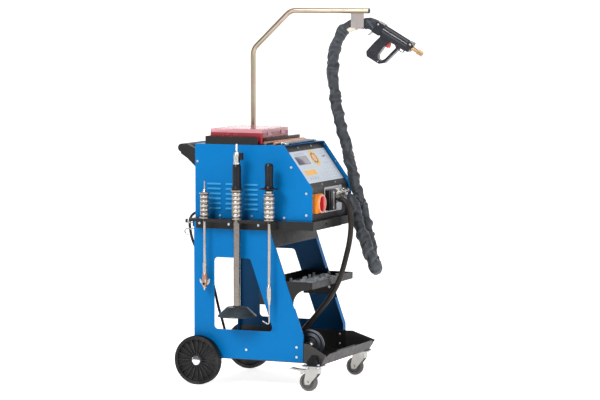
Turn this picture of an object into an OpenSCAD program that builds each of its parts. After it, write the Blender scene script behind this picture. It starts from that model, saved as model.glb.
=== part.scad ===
// Spot welder for car-body repair: a welding cabinet on a two-shelf trolley, with a gun on a bent
// mast, a sleeve of leads and three slide hammers hung on a side rail.
// X points to the control panel, Y to the side away from the hammers, Z up. Millimetres.

/* [Cabinet] */
// Width of the cabinet across its two blue sides
cabinet_w = 410; // [400:1:414]
// Height of the cabinet, from its floor to its roof
cabinet_h = 334; // [330:1:338]
// How far the blue sides stand proud of the front panel
panel_recess = 16; // [14:1:18]
// Length of one cooling louvre
louvre_l = 60; // [50:1:66]
// Number of louvres in one column
louvre_rows = 6; // [4:1:6]

/* [Trolley] */
// Distance between the outer faces of the two side panels
trolley_w = 449; // [449:1:452]
// Thickness of the sheet steel
sheet = 2; // [2:0.5:2]
// Corner radius of the side windows
window_r = 16; // [8:1:24]
// Height of the lower tray's side walls above its floor
tray_wall = 80; // [76:1:84]

/* [Wheels] */
// Diameter of the fixed rear wheels
wheel_d = 200; // [196:1:200]
// Tread width of the rear wheels
wheel_w = 38; // [34:1:38]
// Number of ribs on a rear wheel's disc
wheel_ribs = 20; // [12:1:24]
// Diameter of the caster wheels
caster_d = 75; // [72:1:75]
// Distance from a caster's swivel axis back to its wheel's axle
caster_trail = 24; // [20:1:24]

/* [Mast and gun] */
// Outer diameter of the mast tube
mast_d = 22; // [20:1:22]
// Height of the mast's horizontal arm, at its centre line
mast_top = 1514; // [1500:1:1520]
// Angle that the gun's nose points down
gun_tilt = 30; // [29:0.5:31]
// Travel of the gun's trigger
trigger_travel = 5; // [3:0.5:6]
// Wall radius of the electrode socket in the gun's nose
nozzle_bore_r = 4; // [3:0.5:5]

/* [Slide hammers] */
// Distance of the hammers' axes from the trolley's centre plane
hammer_y = 262; // [258:1:264]
// Diameter of the claw puller's shaft
claw_shaft_d = 11; // [9:1:11]
// Diameter of the vacuum puller's tube
vacuum_tube_d = 28; // [24:1:28]
// Diameter of the vacuum puller's cup at its rim
cup_d = 158; // [150:1:172]
// Radial running clearance between a shaft and its weight
slide_gap = 0.08; // [0.05:0.01:0.1]

/* [Leads] */
// Diameter of the textile sleeve round the gun's leads
sleeve_d = 42; // [38:1:42]
// Diameter of the earth cable
ground_d = 22; // [16:1:22]
// Diameter of the mains lead
mains_d = 11; // [9:1:11]

/* [Hidden] */
$fn = 48;

BLUE = [0.02, 0.40, 0.72];
CHARCOAL = [0.20, 0.19, 0.20];
BLACK = [0.07, 0.07, 0.08];
ZINC = [0.72, 0.70, 0.66];
STEEL = [0.78, 0.77, 0.75];
COPPER = [0.80, 0.50, 0.35];
SLATE = [0.22, 0.26, 0.30];

// ---- heights and planes of the trolley -----------------------------------------
near = -1;
far = 1;
tray_z = 108;                          // underside of the lower tray
caster_top = 105;                      // top of the caster plates
upper_z = 641;                         // underside of the upper tray
cabinet_z = upper_z + sheet;           // the cabinet stands on the upper tray
roof_z = cabinet_z + cabinet_h;        // top of the cabinet
panel_out = trolley_w / 2;             // outer face of a side panel
panel_in = panel_out - sheet;          // inner face of a side panel
wall_in = panel_in - sheet;            // inner face of a tray wall
flange_w = 25;                         // depth of the far side panel's bent edges
near_flange_w = 8;                     // and of the near one's
function fold_w(side) = side > 0 ? flange_w : near_flange_w;
rail_top = 680;                        // the hammers' weights rest here

// ---- cabinet profile, seen from the side ------------------------------------------
cover_t = 1.5;                         // thickness of the cabinet's sheet
rear_x = -375;
front_x = 142;
slope_top_x = 20;
slope_z = 810;
side_in = cabinet_w / 2 - cover_t;     // inner face of the cover's sides
slope_angle = atan2(front_x - slope_top_x, roof_z - slope_z);
panel_x = front_x - panel_recess;      // outer face of the vertical front
panel_z = slope_z - panel_recess * tan(slope_angle) / 4;   // where the front starts to lean
panel_top_x = panel_x - (roof_z - cover_t - panel_z) * tan(slope_angle);
slope_l = (roof_z - cover_t - panel_z) / cos(slope_angle);

// ---- wheels ---------------------------------------------------------------------
axle_x = -343;
axle_r = 7.5;
wheel_out = 269;                       // outer face of a rear wheel
cap_out = 277;                         // outermost point of a hub cap
caster_x = 168;                        // swivel axis
caster_y = 245;
bracket_out = 284;                     // outer edge of a caster's bracket
caster_wheel_w = 24;
caster_axle_r = 4;
kingpin_r = 5;
spin_gap = 0.05;                       // radial running clearance of the wheels

// ---- mast and gun -----------------------------------------------------------------
mast_x = -268;
mast_y = 130;
arm_end_x = 250;
mast_angle = 43.5;                     // lean of the sloping stretch above the horizontal
bend_r = 55;
knee_z = 1353;
elbow_x = mast_x + (mast_top - knee_z) / tan(mast_angle);
gun_y = 152;
gun_x = 265;
gun_z = 1454;
barrel_b = 4;                          // height of the nose's axis in the gun's own axes
nozzle_l = 52;
nose_a = 186;                          // front face of the gun body, along the gun

// ---- hammers ------------------------------------------------------------------------
claw_x = -306;
vacuum_x = -163;
hook_x = -21;
claw_weight_z = 784;
vacuum_weight_z = 798;
hook_weight_z = 787;
cup_z = 288;
hook_shaft_d = 12;

// ---- the part's own frame: origin on the floor under the middle of its box -------
nose_tip_a = nose_a + nozzle_l;
nozzle_hex_r = 12;
tip_x = gun_x + nose_tip_a * cos(gun_tilt) + (barrel_b + nozzle_hex_r) * sin(gun_tilt);
handle_back_x = -453;
centre_x = (handle_back_x + tip_x) / 2;
centre_y = (bracket_out - hammer_y - cup_d / 2) / 2;

module place() translate([-centre_x, -centre_y, 0]) children();

// ---- outlines -------------------------------------------------------------------------
function unit(v) = v / norm(v);

// One corner of an outline, rounded to radius r with n steps
function corner(a, p, b, r, n) =
    let (u = unit(a - p), v = unit(b - p), half = acos(u * v) / 2,
         c = p + unit(u + v) * r / sin(half),
         s = p + u * r / tan(half) - c, e = p + v * r / tan(half) - c,
         a0 = atan2(s.y, s.x), turn = atan2(e.y, e.x) - a0,
         sweep = turn > 180 ? turn - 360 : turn < -180 ? turn + 360 : turn)
    [for (i = [0:n]) c + r * [cos(a0 + sweep * i / n), sin(a0 + sweep * i / n)]];

function rounded(pts, r, n = 5) =
    let (k = len(pts))
    [for (i = [0:k - 1]) each corner(pts[(i + k - 1) % k], pts[i], pts[(i + 1) % k], r, n)];

function box_outline(x0, z0, x1, z1) = [[x0, z0], [x1, z0], [x1, z1], [x0, z1]];

// A plate in the XZ plane, from y0 towards +Y
module xz_plate(pts, y0, t) translate([0, y0 + t, 0]) rotate([90, 0, 0]) linear_extrude(t) polygon(pts);

// A plate in the XZ plane whose inner face is y_in from the centre plane, on one side
module side_plate(side, pts, y_in, t) xz_plate(pts, side > 0 ? y_in : -y_in - t, t);

// A bar along X with a section given in Y and Z
module yz_plate(pts, x0, t) translate([x0, 0, 0]) rotate([90, 0, 90]) linear_extrude(t) polygon(pts);

// A round bar or hole along Y between two planes
module y_rod(x, z, r, y0, y1) translate([x, y0, z]) rotate([-90, 0, 0]) cylinder(r = r, h = y1 - y0);

// A round bar or hole along X between two planes
module x_rod(y, z, r, x0, x1) translate([x0, y, z]) rotate([0, 90, 0]) cylinder(r = r, h = x1 - x0);

// A box given by its two corners
module block(a, b) translate(a) cube(b - a);

// ---- screws -----------------------------------------------------------------------------
screw_r = 2.4;
hole_r = 2.6;
rail_screws = [[-346, 656], [-215, 656], [-84, 656]];
tray_screws = [[83, 171], [83, 131], [-139, 149]];
shelf_screws = [[38, 367]];
cover_screws = [[51, 891], [117, 788], [117, 701], [-364, 906], [-264, 688], [-122, 690], [20, 688]];
label_screws = [[191, -56], [191, 80], [11, -53], [11, 85]];
caster_bolts = [for (dx = [-26, 26], dy = [-25, 25]) [dx, dy]];
mast_bolts = [for (a = [90, 210, 330]) [mast_x + 24 * cos(a), mast_y + 24 * sin(a)]];

module side_holes(side, places, y_in, t)
    for (p = places) side_bore(side, p, hole_r, y_in - 1, t + 2);

module side_bore(side, p, r, y_in, t)
    y_rod(p.x, p.y, r, side > 0 ? y_in : -y_in - t, side > 0 ? y_in + t : -y_in);

// A pan-head screw whose head seats on a face at y_face and whose shank runs inwards
module side_screw(side, p, y_face, l) {
    side_bore(side, p, screw_r, y_face - l, l);
    side_bore(side, p, 5, y_face, 2.6);
}

// A hexagon bolt pointing down, with its head above z and a nut below
module bolt(x, y, z, r, l) {
    translate([x, y, z]) rotate([0, 0, 30]) cylinder(r = r * 1.8, h = r * 1.3, $fn = 6);
    translate([x, y, z - l]) cylinder(r = r, h = l);
}

// ---- trolley frame ------------------------------------------------------------------------
edge_run = (110 + 42) / (655 - 218);   // the front edge leans back by this much per millimetre
function edge_x(z) = z < 218 ? 110 : 110 - (z - 218) * edge_run;
panel_outline = [[-372, 111], [110, 111], [110, 218], [edge_x(672), 672], [-372, 672]];
window_outline = [[-281, 228], [-18, 228], [-122, 520], [-281, 520]];
brace_z = 571;

module panel_edge(side, z0, z1)
    side_plate(side, [[edge_x(z0) - sheet, z0], [edge_x(z0), z0], [edge_x(z1), z1],
        [edge_x(z1) - sheet, z1]], panel_in - fold_w(side), fold_w(side));

module side_panel(side) difference() {
    union() {
        side_plate(side, panel_outline, panel_in, sheet);
        panel_edge(side, 192, 218);
        panel_edge(side, 218, 326);
        panel_edge(side, 446, 639);
        side_plate(side, box_outline(-372, 111, -370, 639), panel_in - fold_w(side), fold_w(side));
    }
    side_plate(side, rounded(window_outline, window_r), panel_in - 1, sheet + 2);
    side_holes(side, rail_screws, panel_in, sheet);
    side_holes(side, tray_screws, panel_in, sheet);
    side_bore(side, shelf_screws[0], hole_r, panel_in - 1, 2.5);
}

module side_panel_near() color(BLUE) place() side_panel(near);
module side_panel_far() color(BLUE) place() side_panel(far);

// Open tray that the cabinet stands in, with a pull tab at the front
tab_x = 155;
step_x = 146;
step_y = 66;
module upper_tray() color(CHARCOAL) place() difference() {
    union() {
        difference() {
            translate([0, 0, upper_z]) linear_extrude(35)
                polygon([[-379, -panel_in], [tab_x, -panel_in], [tab_x, step_y], [step_x, step_y],
                    [step_x, panel_in], [-379, panel_in]]);
            translate([0, 0, cabinet_z]) linear_extrude(40)
                polygon([[-377, -wall_in], [tab_x - 2, -wall_in], [tab_x - 2, step_y - 2],
                    [step_x - 2, step_y - 2], [step_x - 2, wall_in], [-377, wall_in]]);
        }
        // folded lip along the front, clear of the cabinet's blue sides
        block([panel_x + 2, -side_in + 2, upper_z + 33], [tab_x, step_y, upper_z + 35]);
        block([panel_x + 2, step_y, upper_z + 33], [step_x, side_in - 2, upper_z + 35]);
    }
    // finger slot in the lip and the hole in the tab's face
    translate([(panel_x + tab_x) / 2 + 1, -66, upper_z + 30]) {
        block([-7, -62, 0], [7, 62, 8]);
        translate([0, -62, 0]) cylinder(r = 7, h = 8);
        translate([0, 62, 0]) cylinder(r = 7, h = 8);
    }
    x_rod(-92, 658, 6, tab_x - 5, tab_x + 3);
    side_holes(near, rail_screws, wall_in, sheet);
    side_holes(far, rail_screws, wall_in, sheet);
}

// Angle with three U-notches that the slide hammers hang in
rail_x0 = -362;
rail_end_x = -5;
rail_low_z = 636;
rail_reach = 287;
module rail_notch(x, r) {
    translate([x, -hammer_y, rail_top - 15]) cylinder(r = r, h = 20);
    block([x - r, -rail_reach - 5, rail_top - 15], [x + r, -hammer_y, rail_top + 5]);
}
module tool_rail() color(BLACK) place() difference() {
    union() {
        block([rail_x0, -panel_out - sheet, rail_low_z], [rail_end_x, -panel_out, rail_top]);
        block([rail_x0, -rail_reach, rail_top - 3], [rail_end_x, -panel_out, rail_top]);
        block([rail_x0, -rail_reach, rail_top - 12], [rail_end_x, -rail_reach + 3, rail_top]);
    }
    rail_notch(claw_x, claw_shaft_d / 2 + 1);
    rail_notch(vacuum_x, vacuum_tube_d / 2 + 1);
    rail_notch(hook_x, hook_shaft_d / 2 + 1);
    side_holes(near, rail_screws, panel_out, sheet);
}

// Leaning plate screwed to the front edges of both side panels, under the upper tray
module cross_brace() color(CHARCOAL) place() difference() {
    union() {
        xz_plate([[edge_x(brace_z), brace_z], [edge_x(brace_z) + sheet, brace_z],
            [edge_x(640) + sheet, 640], [edge_x(640), 640]], -panel_in + 1, 2 * panel_in - 2);
        block([edge_x(brace_z) - 16, -panel_in + 28, brace_z],
            [edge_x(brace_z) + sheet, panel_in - 28, brace_z + 2]);
    }
}

// Shelf with raised edges and a quarter-round gusset under each end
shelf_z = 406;
shelf_top = 434;
module shelf_side(side) difference() {
    side_plate(side, concat([[-80, shelf_top], [-80, 336], [67, 336]],
        [for (a = [180:-10:90]) [127 + 60 * cos(a), 342 + 60 * sin(a)]],
        [[142, shelf_z], [142, shelf_top]]), wall_in, sheet);
    side_holes(side, shelf_screws, wall_in, sheet);
}
module middle_shelf() color(BLACK) place() {
    shelf_side(near);
    shelf_side(far);
    difference() {
        translate([0, 0, shelf_z]) linear_extrude(shelf_top - shelf_z)
            polygon([[-80, -wall_in], [150, -wall_in], [150, -61], [142, 10], [142, wall_in],
                [-80, wall_in]]);
        translate([0, 0, shelf_z + 2]) linear_extrude(shelf_top)
            polygon([[-78, -wall_in - 1], [148, -wall_in - 1], [148, -61.1], [140, 9.9],
                [140, wall_in + 1], [-78, wall_in + 1]]);
    }
}

// Deep lower tray whose front flares out over the casters
flare_x = 112;
flare_angle = 20.5;
tray_floor = tray_z + sheet;
nose_low_x = 200;
nose_high_x = 226;
nose_z = 152;                          // top of the leaning front wall
function nose_x(z) = nose_low_x + (z - tray_z) / (nose_z - tray_z) * (nose_high_x - nose_low_x);
function flare_y(x) = wall_in + sheet / 2 + (x - flare_x) * tan(flare_angle);
module flared_wall(side) {
    low = tray_z + 0.5;
    high = tray_z + tray_wall - 0.6;
    translate([flare_x, side * (wall_in + 0.3), 0]) rotate([0, 0, side * flare_angle])
        xz_plate([[0, low], [(nose_x(low) + 1 - flare_x) / cos(flare_angle), low],
            [(nose_x(150) + 1 - flare_x) / cos(flare_angle), 150], [28, high], [0, high]],
            side > 0 ? 0 : -sheet, sheet);
}
module front_wall() {
    lean = atan2(nose_high_x - nose_low_x, nose_z - tray_z);
    h = (nose_z - tray_z) / cos(lean);
    low = flare_y(nose_low_x);
    mid_t = 0.62;
    mid = flare_y(nose_low_x + mid_t * (nose_high_x - nose_low_x));
    translate([nose_low_x, 0, tray_z + 0.6]) rotate([0, lean, 0])
        yz_plate([[-low, 0], [low, 0], [mid, mid_t * h], [mid - 34, h], [34 - mid, h],
            [-mid, mid_t * h]], 0, sheet);
}
module saddle(side) difference() {
    side_plate(side, box_outline(axle_x - 20, 87, axle_x + 20, tray_z + 1), 196, 14);
    side_bore(side, [axle_x, 100], axle_r + 0.05, 190, 30);
}
module lower_tray() color(CHARCOAL) place() difference() {
    union() {
        translate([0, 0, tray_z]) linear_extrude(sheet)
            polygon([[-368, -flare_y(flare_x)], [flare_x, -flare_y(flare_x)],
                [nose_low_x + 1.5, -flare_y(nose_low_x)], [nose_low_x + 1.5, flare_y(nose_low_x)],
                [flare_x, flare_y(flare_x)], [-368, flare_y(flare_x)]]);
        for (side = [near, far]) {
            side_plate(side, box_outline(-368, tray_z, flare_x, tray_z + tray_wall), wall_in, sheet);
            flared_wall(side);
            saddle(side);
        }
        front_wall();
        block([-368, -wall_in - 1, tray_z], [-366, wall_in + 1, 165]);
    }
    for (side = [near, far]) {
        side_holes(side, tray_screws, wall_in, sheet);
        for (b = caster_bolts)
            translate([caster_x + b.x, side * caster_y + b.y, tray_z - 1]) cylinder(r = 4.2, h = 5);
    }
}

// Wedge-shaped bracket that carries a caster outside the tray's wall
bracket_front = 200;
module caster_bracket(side) scale([1, side, 1]) difference() {
    union() {
        translate([0, 0, caster_top]) linear_extrude(tray_z - caster_top)
            polygon(box_outline(130, 208, bracket_front, bracket_out));
        translate([flare_x, wall_in, 0]) rotate([0, 0, flare_angle]) intersection() {
            yz_plate([[2.4, tray_z - 1], [2.4, 146], [6, 146], [31, tray_z - 1]], 34, 58);
            xz_plate([[34, tray_z - 2], [92, tray_z - 2], [78, 147], [50, 147]], 0, 40);
        }
    }
    for (b = caster_bolts)
        translate([caster_x + b.x, caster_y + b.y, caster_top - 1]) cylinder(r = 4.2, h = 60);
    for (dx = [-26, 26])
        translate([caster_x + dx, caster_y + 25, tray_z]) cylinder(r = 10, h = 60);
}
module caster_brackets() color(BLACK) place() {
    caster_bracket(near);
    caster_bracket(far);
}

module axle() color(STEEL) place() y_rod(axle_x, 100, axle_r, -270, 270);

module hub_cap(side) translate([axle_x, side * 270, 100]) rotate([-90 * side, 0, 0])
    rotate_extrude() polygon([[0, 0], [19, 0], [18.5, 2], [15, 4.6], [9, 6.4], [4, cap_out - 270],
        [0, cap_out - 270]]);
module hub_caps() color([0.85, 0.85, 0.86]) place() {
    hub_cap(near);
    hub_cap(far);
}

module screws() color(ZINC) place() {
    for (side = [near, far]) {
        for (p = rail_screws) side_screw(side, p, side < 0 ? panel_out + sheet : panel_out, 9);
        for (p = tray_screws) side_screw(side, p, panel_out, 8);
        for (p = cover_screws) side_screw(side, p, cabinet_w / 2, 5);
        for (b = caster_bolts) bolt(caster_x + b.x, side * caster_y + b.y,
            abs(side * caster_y + b.y) > caster_y ? tray_z : tray_floor, 4, 12);
        // shelf screws point outwards from inside the gussets
        side_bore(side, shelf_screws[0], screw_r, wall_in - 0.1, 3.4);
        side_bore(side, shelf_screws[0], 5, wall_in - 2.6, 2.6);
    }
    for (p = label_screws) on_slope(p) {
        cylinder(r = 4, h = 2);
        translate([0, 0, -5]) cylinder(r = 1.9, h = 5.1);
    }
    for (p = mast_bolts) bolt(p.x, p.y, roof_z + 4, 3, 12);
}

// ---- cabinet --------------------------------------------------------------------------------
cabinet_outline = [[rear_x, cabinet_z], [front_x, cabinet_z], [front_x, slope_z],
    [slope_top_x, roof_z], [rear_x, roof_z]];

// A point on the leaning front: [distance up the slope, y]; Z points out of the panel
module on_slope(p)
    translate([panel_x, 0, panel_z]) rotate([0, -slope_angle, 0])
        translate([0, p.y, p.x]) rotate([0, 90, 0]) children();

// One pressed louvre: a slot under a small hood, on the side at y
module louvre_slot(side, x, z) side_plate(side, box_outline(x, z - 3, x + louvre_l, z + 3), side_in - 2, 6);
module louvre_hood(side, x, z)
    yz_plate([[side * side_in, z + 5], [side * (cabinet_w / 2), z + 5],
        [side * (cabinet_w / 2 + 4.5), z - 1.5], [side * (cabinet_w / 2 + 4.5), z - 3],
        [side * (cabinet_w / 2 + 3.4), z - 3], [side * side_in, z + 3.2]], x, louvre_l);
louvre_places = [for (x = [-320, -238, -156], i = [0:louvre_rows - 1]) [x, 716 + 19.8 * i]];

module cabinet_cover() color(BLUE) place() difference() {
    union() {
        for (side = [near, far]) {
            difference() {
                side_plate(side, cabinet_outline, side_in, cover_t);
                for (p = louvre_places) louvre_slot(side, p.x, p.y);
            }
            for (p = louvre_places) louvre_hood(side, p.x, p.y);
        }
        block([rear_x, -cabinet_w / 2, roof_z - cover_t], [slope_top_x, cabinet_w / 2, roof_z]);
    }
    for (side = [near, far], p = cover_screws) side_bore(side, p, 2.5, side_in - 2, 8);
    for (p = mast_bolts) translate([p.x, p.y, roof_z - 5]) cylinder(r = 3.2, h = 10);
}

// Floor and rear wall of the cabinet in one folded sheet, with the fan's grille
fan_y = 70;
fan_z = 800;
gland_y = -110;
gland_z = 690;
module cabinet_base() color(CHARCOAL) place() difference() {
    union() {
        block([rear_x, -side_in, cabinet_z], [panel_x - cover_t - 0.5, side_in, cabinet_z + cover_t]);
        block([rear_x, -side_in, cabinet_z], [rear_x + cover_t, side_in, roof_z - cover_t]);
        for (side = [near, far]) {
            side_plate(side, box_outline(rear_x, cabinet_z, 109, 700), side_in - cover_t, cover_t);
            side_plate(side, box_outline(rear_x, cabinet_z, -355, roof_z - 12), side_in - cover_t, cover_t);
        }
    }
    for (side = [near, far], p = cover_screws) side_bore(side, p, 2.5, side_in - 4, 8);
    for (i = [-4:4], j = [-4:4])
        let (y = 12 * i + 6 * (j % 2), z = 10.4 * j)
            if (norm([y, z]) < 52) x_rod(fan_y + y, fan_z + z, 4.6, rear_x - 2, rear_x + 4);
    x_rod(gland_y, gland_z, 9.1, rear_x - 2, rear_x + 4);
}

// Folded front: an upright stretch for the connections and a leaning one for the controls
module front_panel() color(CHARCOAL) place() difference() {
    union() {
        xz_plate([[panel_x - cover_t, cabinet_z + 2], [panel_x, cabinet_z + 2], [panel_x, panel_z],
            [panel_top_x, roof_z - cover_t], [panel_top_x - cover_t * 1.3, roof_z - cover_t],
            [panel_x - cover_t, panel_z - 0.7]], -side_in, 2 * side_in);
        for (side = [near, far])
            side_plate(side, [[110, 701], [panel_x, 701], [panel_x, panel_z],
                [panel_top_x, roof_z - cover_t], [panel_top_x - 30, roof_z - cover_t],
                [110, panel_z - 14]], side_in - cover_t, cover_t);
    }
    for (side = [near, far], p = cover_screws) side_bore(side, p, 2.5, side_in - 4, 8);
    for (p = label_screws) on_slope(p) translate([0, 0, -8]) cylinder(r = 2, h = 12);
    x_rod(isolator_y, isolator_z, 8, panel_x - 4, panel_x + 2);
    for (y = clamp_ys) x_rod(y, clamp_z, 7, panel_x - 4, panel_x + 2);
}

// Printed membrane on the leaning front
module control_label() color([0.78, 0.82, 0.86]) place()
    on_slope([98.5, 9.5]) translate([0, 0, 0.3]) cube([152, 363, 0.6], center = true);

// ---- front connections ------------------------------------------------------------------------
isolator_y = -140;
isolator_z = 744;
clamp_ys = [60, 150];
clamp_z = 748;
module isolator_base() color([0.95, 0.62, 0.16]) place() difference() {
    union() {
        translate([0, isolator_y, isolator_z])
            yz_plate(rounded(box_outline(-40, -38, 40, 38), 8), panel_x, 20);
        x_rod(isolator_y, isolator_z, 37, panel_x + 20, panel_x + 33);
    }
    x_rod(isolator_y, isolator_z, 31, panel_x + 22, panel_x + 40);
    x_rod(isolator_y, isolator_z, 4.05, panel_x - 1, panel_x + 40);
    for (y = [-34, 34], z = [-32, 32]) x_rod(isolator_y + y, isolator_z + z, 2.2, panel_x + 14, panel_x + 30);
}
// Quarter-turn knob with a raised grip across it
module isolator_knob() color([0.86, 0.16, 0.13]) place() {
    x_rod(isolator_y, isolator_z, 4, panel_x + 1, panel_x + 24);
    x_rod(isolator_y, isolator_z, 29, panel_x + 23, panel_x + 28);
    translate([0, isolator_y, isolator_z])
        yz_plate(rounded(box_outline(-9, -28, 9, 28), 7), panel_x + 27, 15);
}

plate_t = 2;
module terminal_block() color(BLACK) place() difference() {
    union() {
        yz_plate(rounded([[-45, 700], [136, 700], [136, 802], [-45, 802]], 9), panel_x, plate_t);
        yz_plate(rounded(box_outline(-40, 708, 34, 792), 4), panel_x + plate_t, 18);
        yz_plate(rounded(box_outline(-28, 712, -6, 788), 3), panel_x + plate_t + 18, 3);
        yz_plate(rounded(box_outline(12, 712, 28, 788), 3), panel_x + plate_t + 18, 3);
    }
    for (y = clamp_ys) x_rod(y, clamp_z, 7, panel_x - 1, panel_x + 10);
}

// Tinned bars and lugs where the gun's lead and the earth cable bolt on
module clamp_post(y, l, r) {
    x_rod(y, clamp_z, 6.9, panel_x - 14, panel_x + plate_t);
    x_rod(y, clamp_z, 13, panel_x + plate_t, panel_x + 6);
    x_rod(y, clamp_z, r, panel_x + 6, panel_x + l);
}
module output_clamps() color([0.86, 0.86, 0.84]) place() difference() {
    union() {
        for (i = [0, 1]) clamp_post(clamp_ys[i], 24, 12);
        yz_plate(rounded(box_outline(42, 752, 182, 784), 3), panel_x + plate_t, 8);
        yz_plate(rounded(box_outline(46, 772, 112, 794), 3), panel_x + plate_t + 8, 6);
        yz_plate(rounded(box_outline(120, 770, 178, 790), 3), panel_x + plate_t + 8, 9);
        for (y = [60, 96, 134, 166]) x_rod(y, 778, 5, panel_x + plate_t + 8, panel_x + 26);
    }
}

// ---- inside the cabinet ------------------------------------------------------------------------
core_x = -130;
core_z = cabinet_z + cover_t;
module transformer_core() color([0.35, 0.33, 0.32]) place() difference() {
    block([core_x - 75, -50, core_z], [core_x + 75, 50, core_z + 160]);
    block([core_x - 45, -60, core_z + 28], [core_x - 18, 60, core_z + 132]);
    block([core_x + 18, -60, core_z + 28], [core_x + 45, 60, core_z + 132]);
}
// Two coils round the middle limb, inside the core's windows
module coil_ring(z0, z1) translate([core_x, 0, z0]) linear_extrude(z1 - z0) difference() {
    polygon(rounded([[-43, -76], [43, -76], [43, 76], [-43, 76]], 12));
    polygon([[-19, -51], [19, -51], [19, 51], [-19, 51]]);
}
module transformer_coils() color(COPPER) place() {
    coil_ring(core_z + 30, core_z + 78);
    coil_ring(core_z + 84, core_z + 130);
}
// Circuit board with a finned heat sink for the switching module
module power_board() color([0.10, 0.40, 0.24]) place() {
    block([-250, 130, core_z + 12], [20, 132, core_z + 190]);
    for (x = [-230, 0], z = [core_z + 24, core_z + 178]) y_rod(x, z, 4, 132, 140);
    block([-200, 112, core_z + 60], [-60, 130, core_z + 66]);
    for (i = [0:9]) block([-200 + 15 * i, 100, core_z + 66], [-197 + 15 * i, 130, core_z + 150]);
    block([-200, 126, core_z + 66], [-62, 130, core_z + 150]);
    for (x = [-40, -20]) y_rod(x, core_z + 120, 9, 100, 130);
}

fan_x = rear_x + cover_t;
module fan_frame() color(BLACK) place() difference() {
    union() {
        difference() {
            translate([0, fan_y, fan_z]) yz_plate(rounded(box_outline(-60, -60, 60, 60), 6), fan_x, 25);
            x_rod(fan_y, fan_z, 56, fan_x - 1, fan_x + 26);
        }
        for (a = [45, 135]) translate([fan_x, fan_y, fan_z]) rotate([a, 0, 0])
            block([20.5, -3, -58], [24, 3, 58]);
        x_rod(fan_y, fan_z, 20, fan_x + 19, fan_x + 24.5);
    }
    x_rod(fan_y, fan_z, 3 + spin_gap, fan_x - 1, fan_x + 30);
}
module fan_rotor() color([0.16, 0.16, 0.17]) place() {
    difference() {
        x_rod(fan_y, fan_z, 19, fan_x + 3, fan_x + 18);
        x_rod(fan_y, fan_z, 15, fan_x + 2, fan_x + 6);
    }
    x_rod(fan_y, fan_z, 3, fan_x + 17, fan_x + 24);
    for (a = [0:360 / 7:359]) translate([fan_x + 10, fan_y, fan_z]) rotate([a, 0, 0])
        rotate([0, 0, 32]) block([-0.8, -11, 16], [0.8, 11, 53]);
}

// ---- on the roof ------------------------------------------------------------------------------------
tray_x0 = -330;
tray_x1 = -98;
tray_y0 = -203;
tray_y1 = 93;
module top_tray() color(BLACK) place() difference() {
    block([tray_x0, tray_y0, roof_z], [tray_x1, tray_y1, roof_z + 32]);
    block([tray_x0 + 2, tray_y0 + 2, roof_z + 2], [tray_x1 + 5, tray_y1 - 2, roof_z + 40]);
}

// Assortment case: a tub with dividers and a hinged clear lid
case_x0 = -325;
case_x1 = -87;
case_y0 = -180;
case_y1 = 85;
hinge_ys = [-130, 35];                 // middles of the two hinges
latch_ys = [-115, 20];                 // middles of the two latches
case_z = roof_z + 2;
case_split = roof_z + 47;
case_top = roof_z + 62;
case_wall = 2.5;
hinge_z = case_split;
module case_base() color([0.75, 0.12, 0.16]) place() difference() {
    union() {
        difference() {
            translate([0, 0, case_z]) linear_extrude(case_split - case_z)
                polygon(rounded([[case_x0 + 4, case_y0], [case_x1, case_y0], [case_x1, case_y1],
                    [case_x0 + 4, case_y1]], 8));
            translate([0, 0, case_z + 2]) linear_extrude(100)
                polygon(rounded([[case_x0 + 4 + case_wall, case_y0 + case_wall],
                    [case_x1 - case_wall, case_y0 + case_wall], [case_x1 - case_wall, case_y1 - case_wall],
                    [case_x0 + 4 + case_wall, case_y1 - case_wall]], 6));
        }
        for (i = [1:3]) block([case_x0 + 6 + 58 * i, case_y0 + 2, case_z + 1],
            [case_x0 + 8 + 58 * i, case_y1 - 2, case_split - 4]);
        block([case_x0 + 6, -58, case_z + 1], [case_x1 - 2, -56, case_split - 4]);
        for (y = hinge_ys) block([case_x0, y - 14, hinge_z - 8], [case_x0 + 5, y + 14, hinge_z - 3]);
        for (y = hinge_ys) y_rod(case_x0, hinge_z - 1, 1.4, y - 22, y + 22);
        for (y = hinge_ys) block([case_x0 - 1.4, y - 14, hinge_z - 8], [case_x0 + 1.4, y + 14, hinge_z - 1]);
    }
}
module case_lid() color([0.92, 0.55, 0.60, 0.45]) place() {
    difference() {
        translate([0, 0, case_split]) linear_extrude(case_top - case_split)
            polygon(rounded([[case_x0 + 4, case_y0], [case_x1, case_y0], [case_x1, case_y1],
                [case_x0 + 4, case_y1]], 8));
        translate([0, 0, case_split - 1]) linear_extrude(case_top - case_split - 1.5)
            polygon(rounded([[case_x0 + 6, case_y0 + 2], [case_x1 - 2, case_y0 + 2],
                [case_x1 - 2, case_y1 - 2], [case_x0 + 6, case_y1 - 2]], 6));
    }
    for (y = hinge_ys, e = [-19, 19]) difference() {
        union() {
            y_rod(case_x0, hinge_z - 1, 3.6, y + e - 2.5, y + e + 2.5);
            block([case_x0, y + e - 2.5, hinge_z + 0.2], [case_x0 + 5, y + e + 2.5, hinge_z + 3]);
        }
        y_rod(case_x0, hinge_z - 1, 1.4 + spin_gap, y + e - 9, y + e + 9);
    }
    // latch tongues over the front of the tub
    for (y = latch_ys) block([case_x1 + 0.3, y - 16, case_split - 12], [case_x1 + 3, y + 16, case_top - 8]);
    for (y = latch_ys) block([case_x1 - 3, y - 16, case_split + 4], [case_x1 + 3, y + 16, case_top - 8]);
}

// Push handle behind the cabinet: two cheeks and a round bar
module push_handle() color(BLACK) place() {
    bar_z = roof_z - 18;
    for (side = [near, far])
        side_plate(side, [[rear_x, 884], [-411, 917], [-440, 936], [-440, roof_z - 8], [-415, roof_z - 1],
            [rear_x, 958]], 183, 22);
    y_rod(handle_back_x + 17, bar_z, 17, -cabinet_w / 2, cabinet_w / 2);
}

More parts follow.
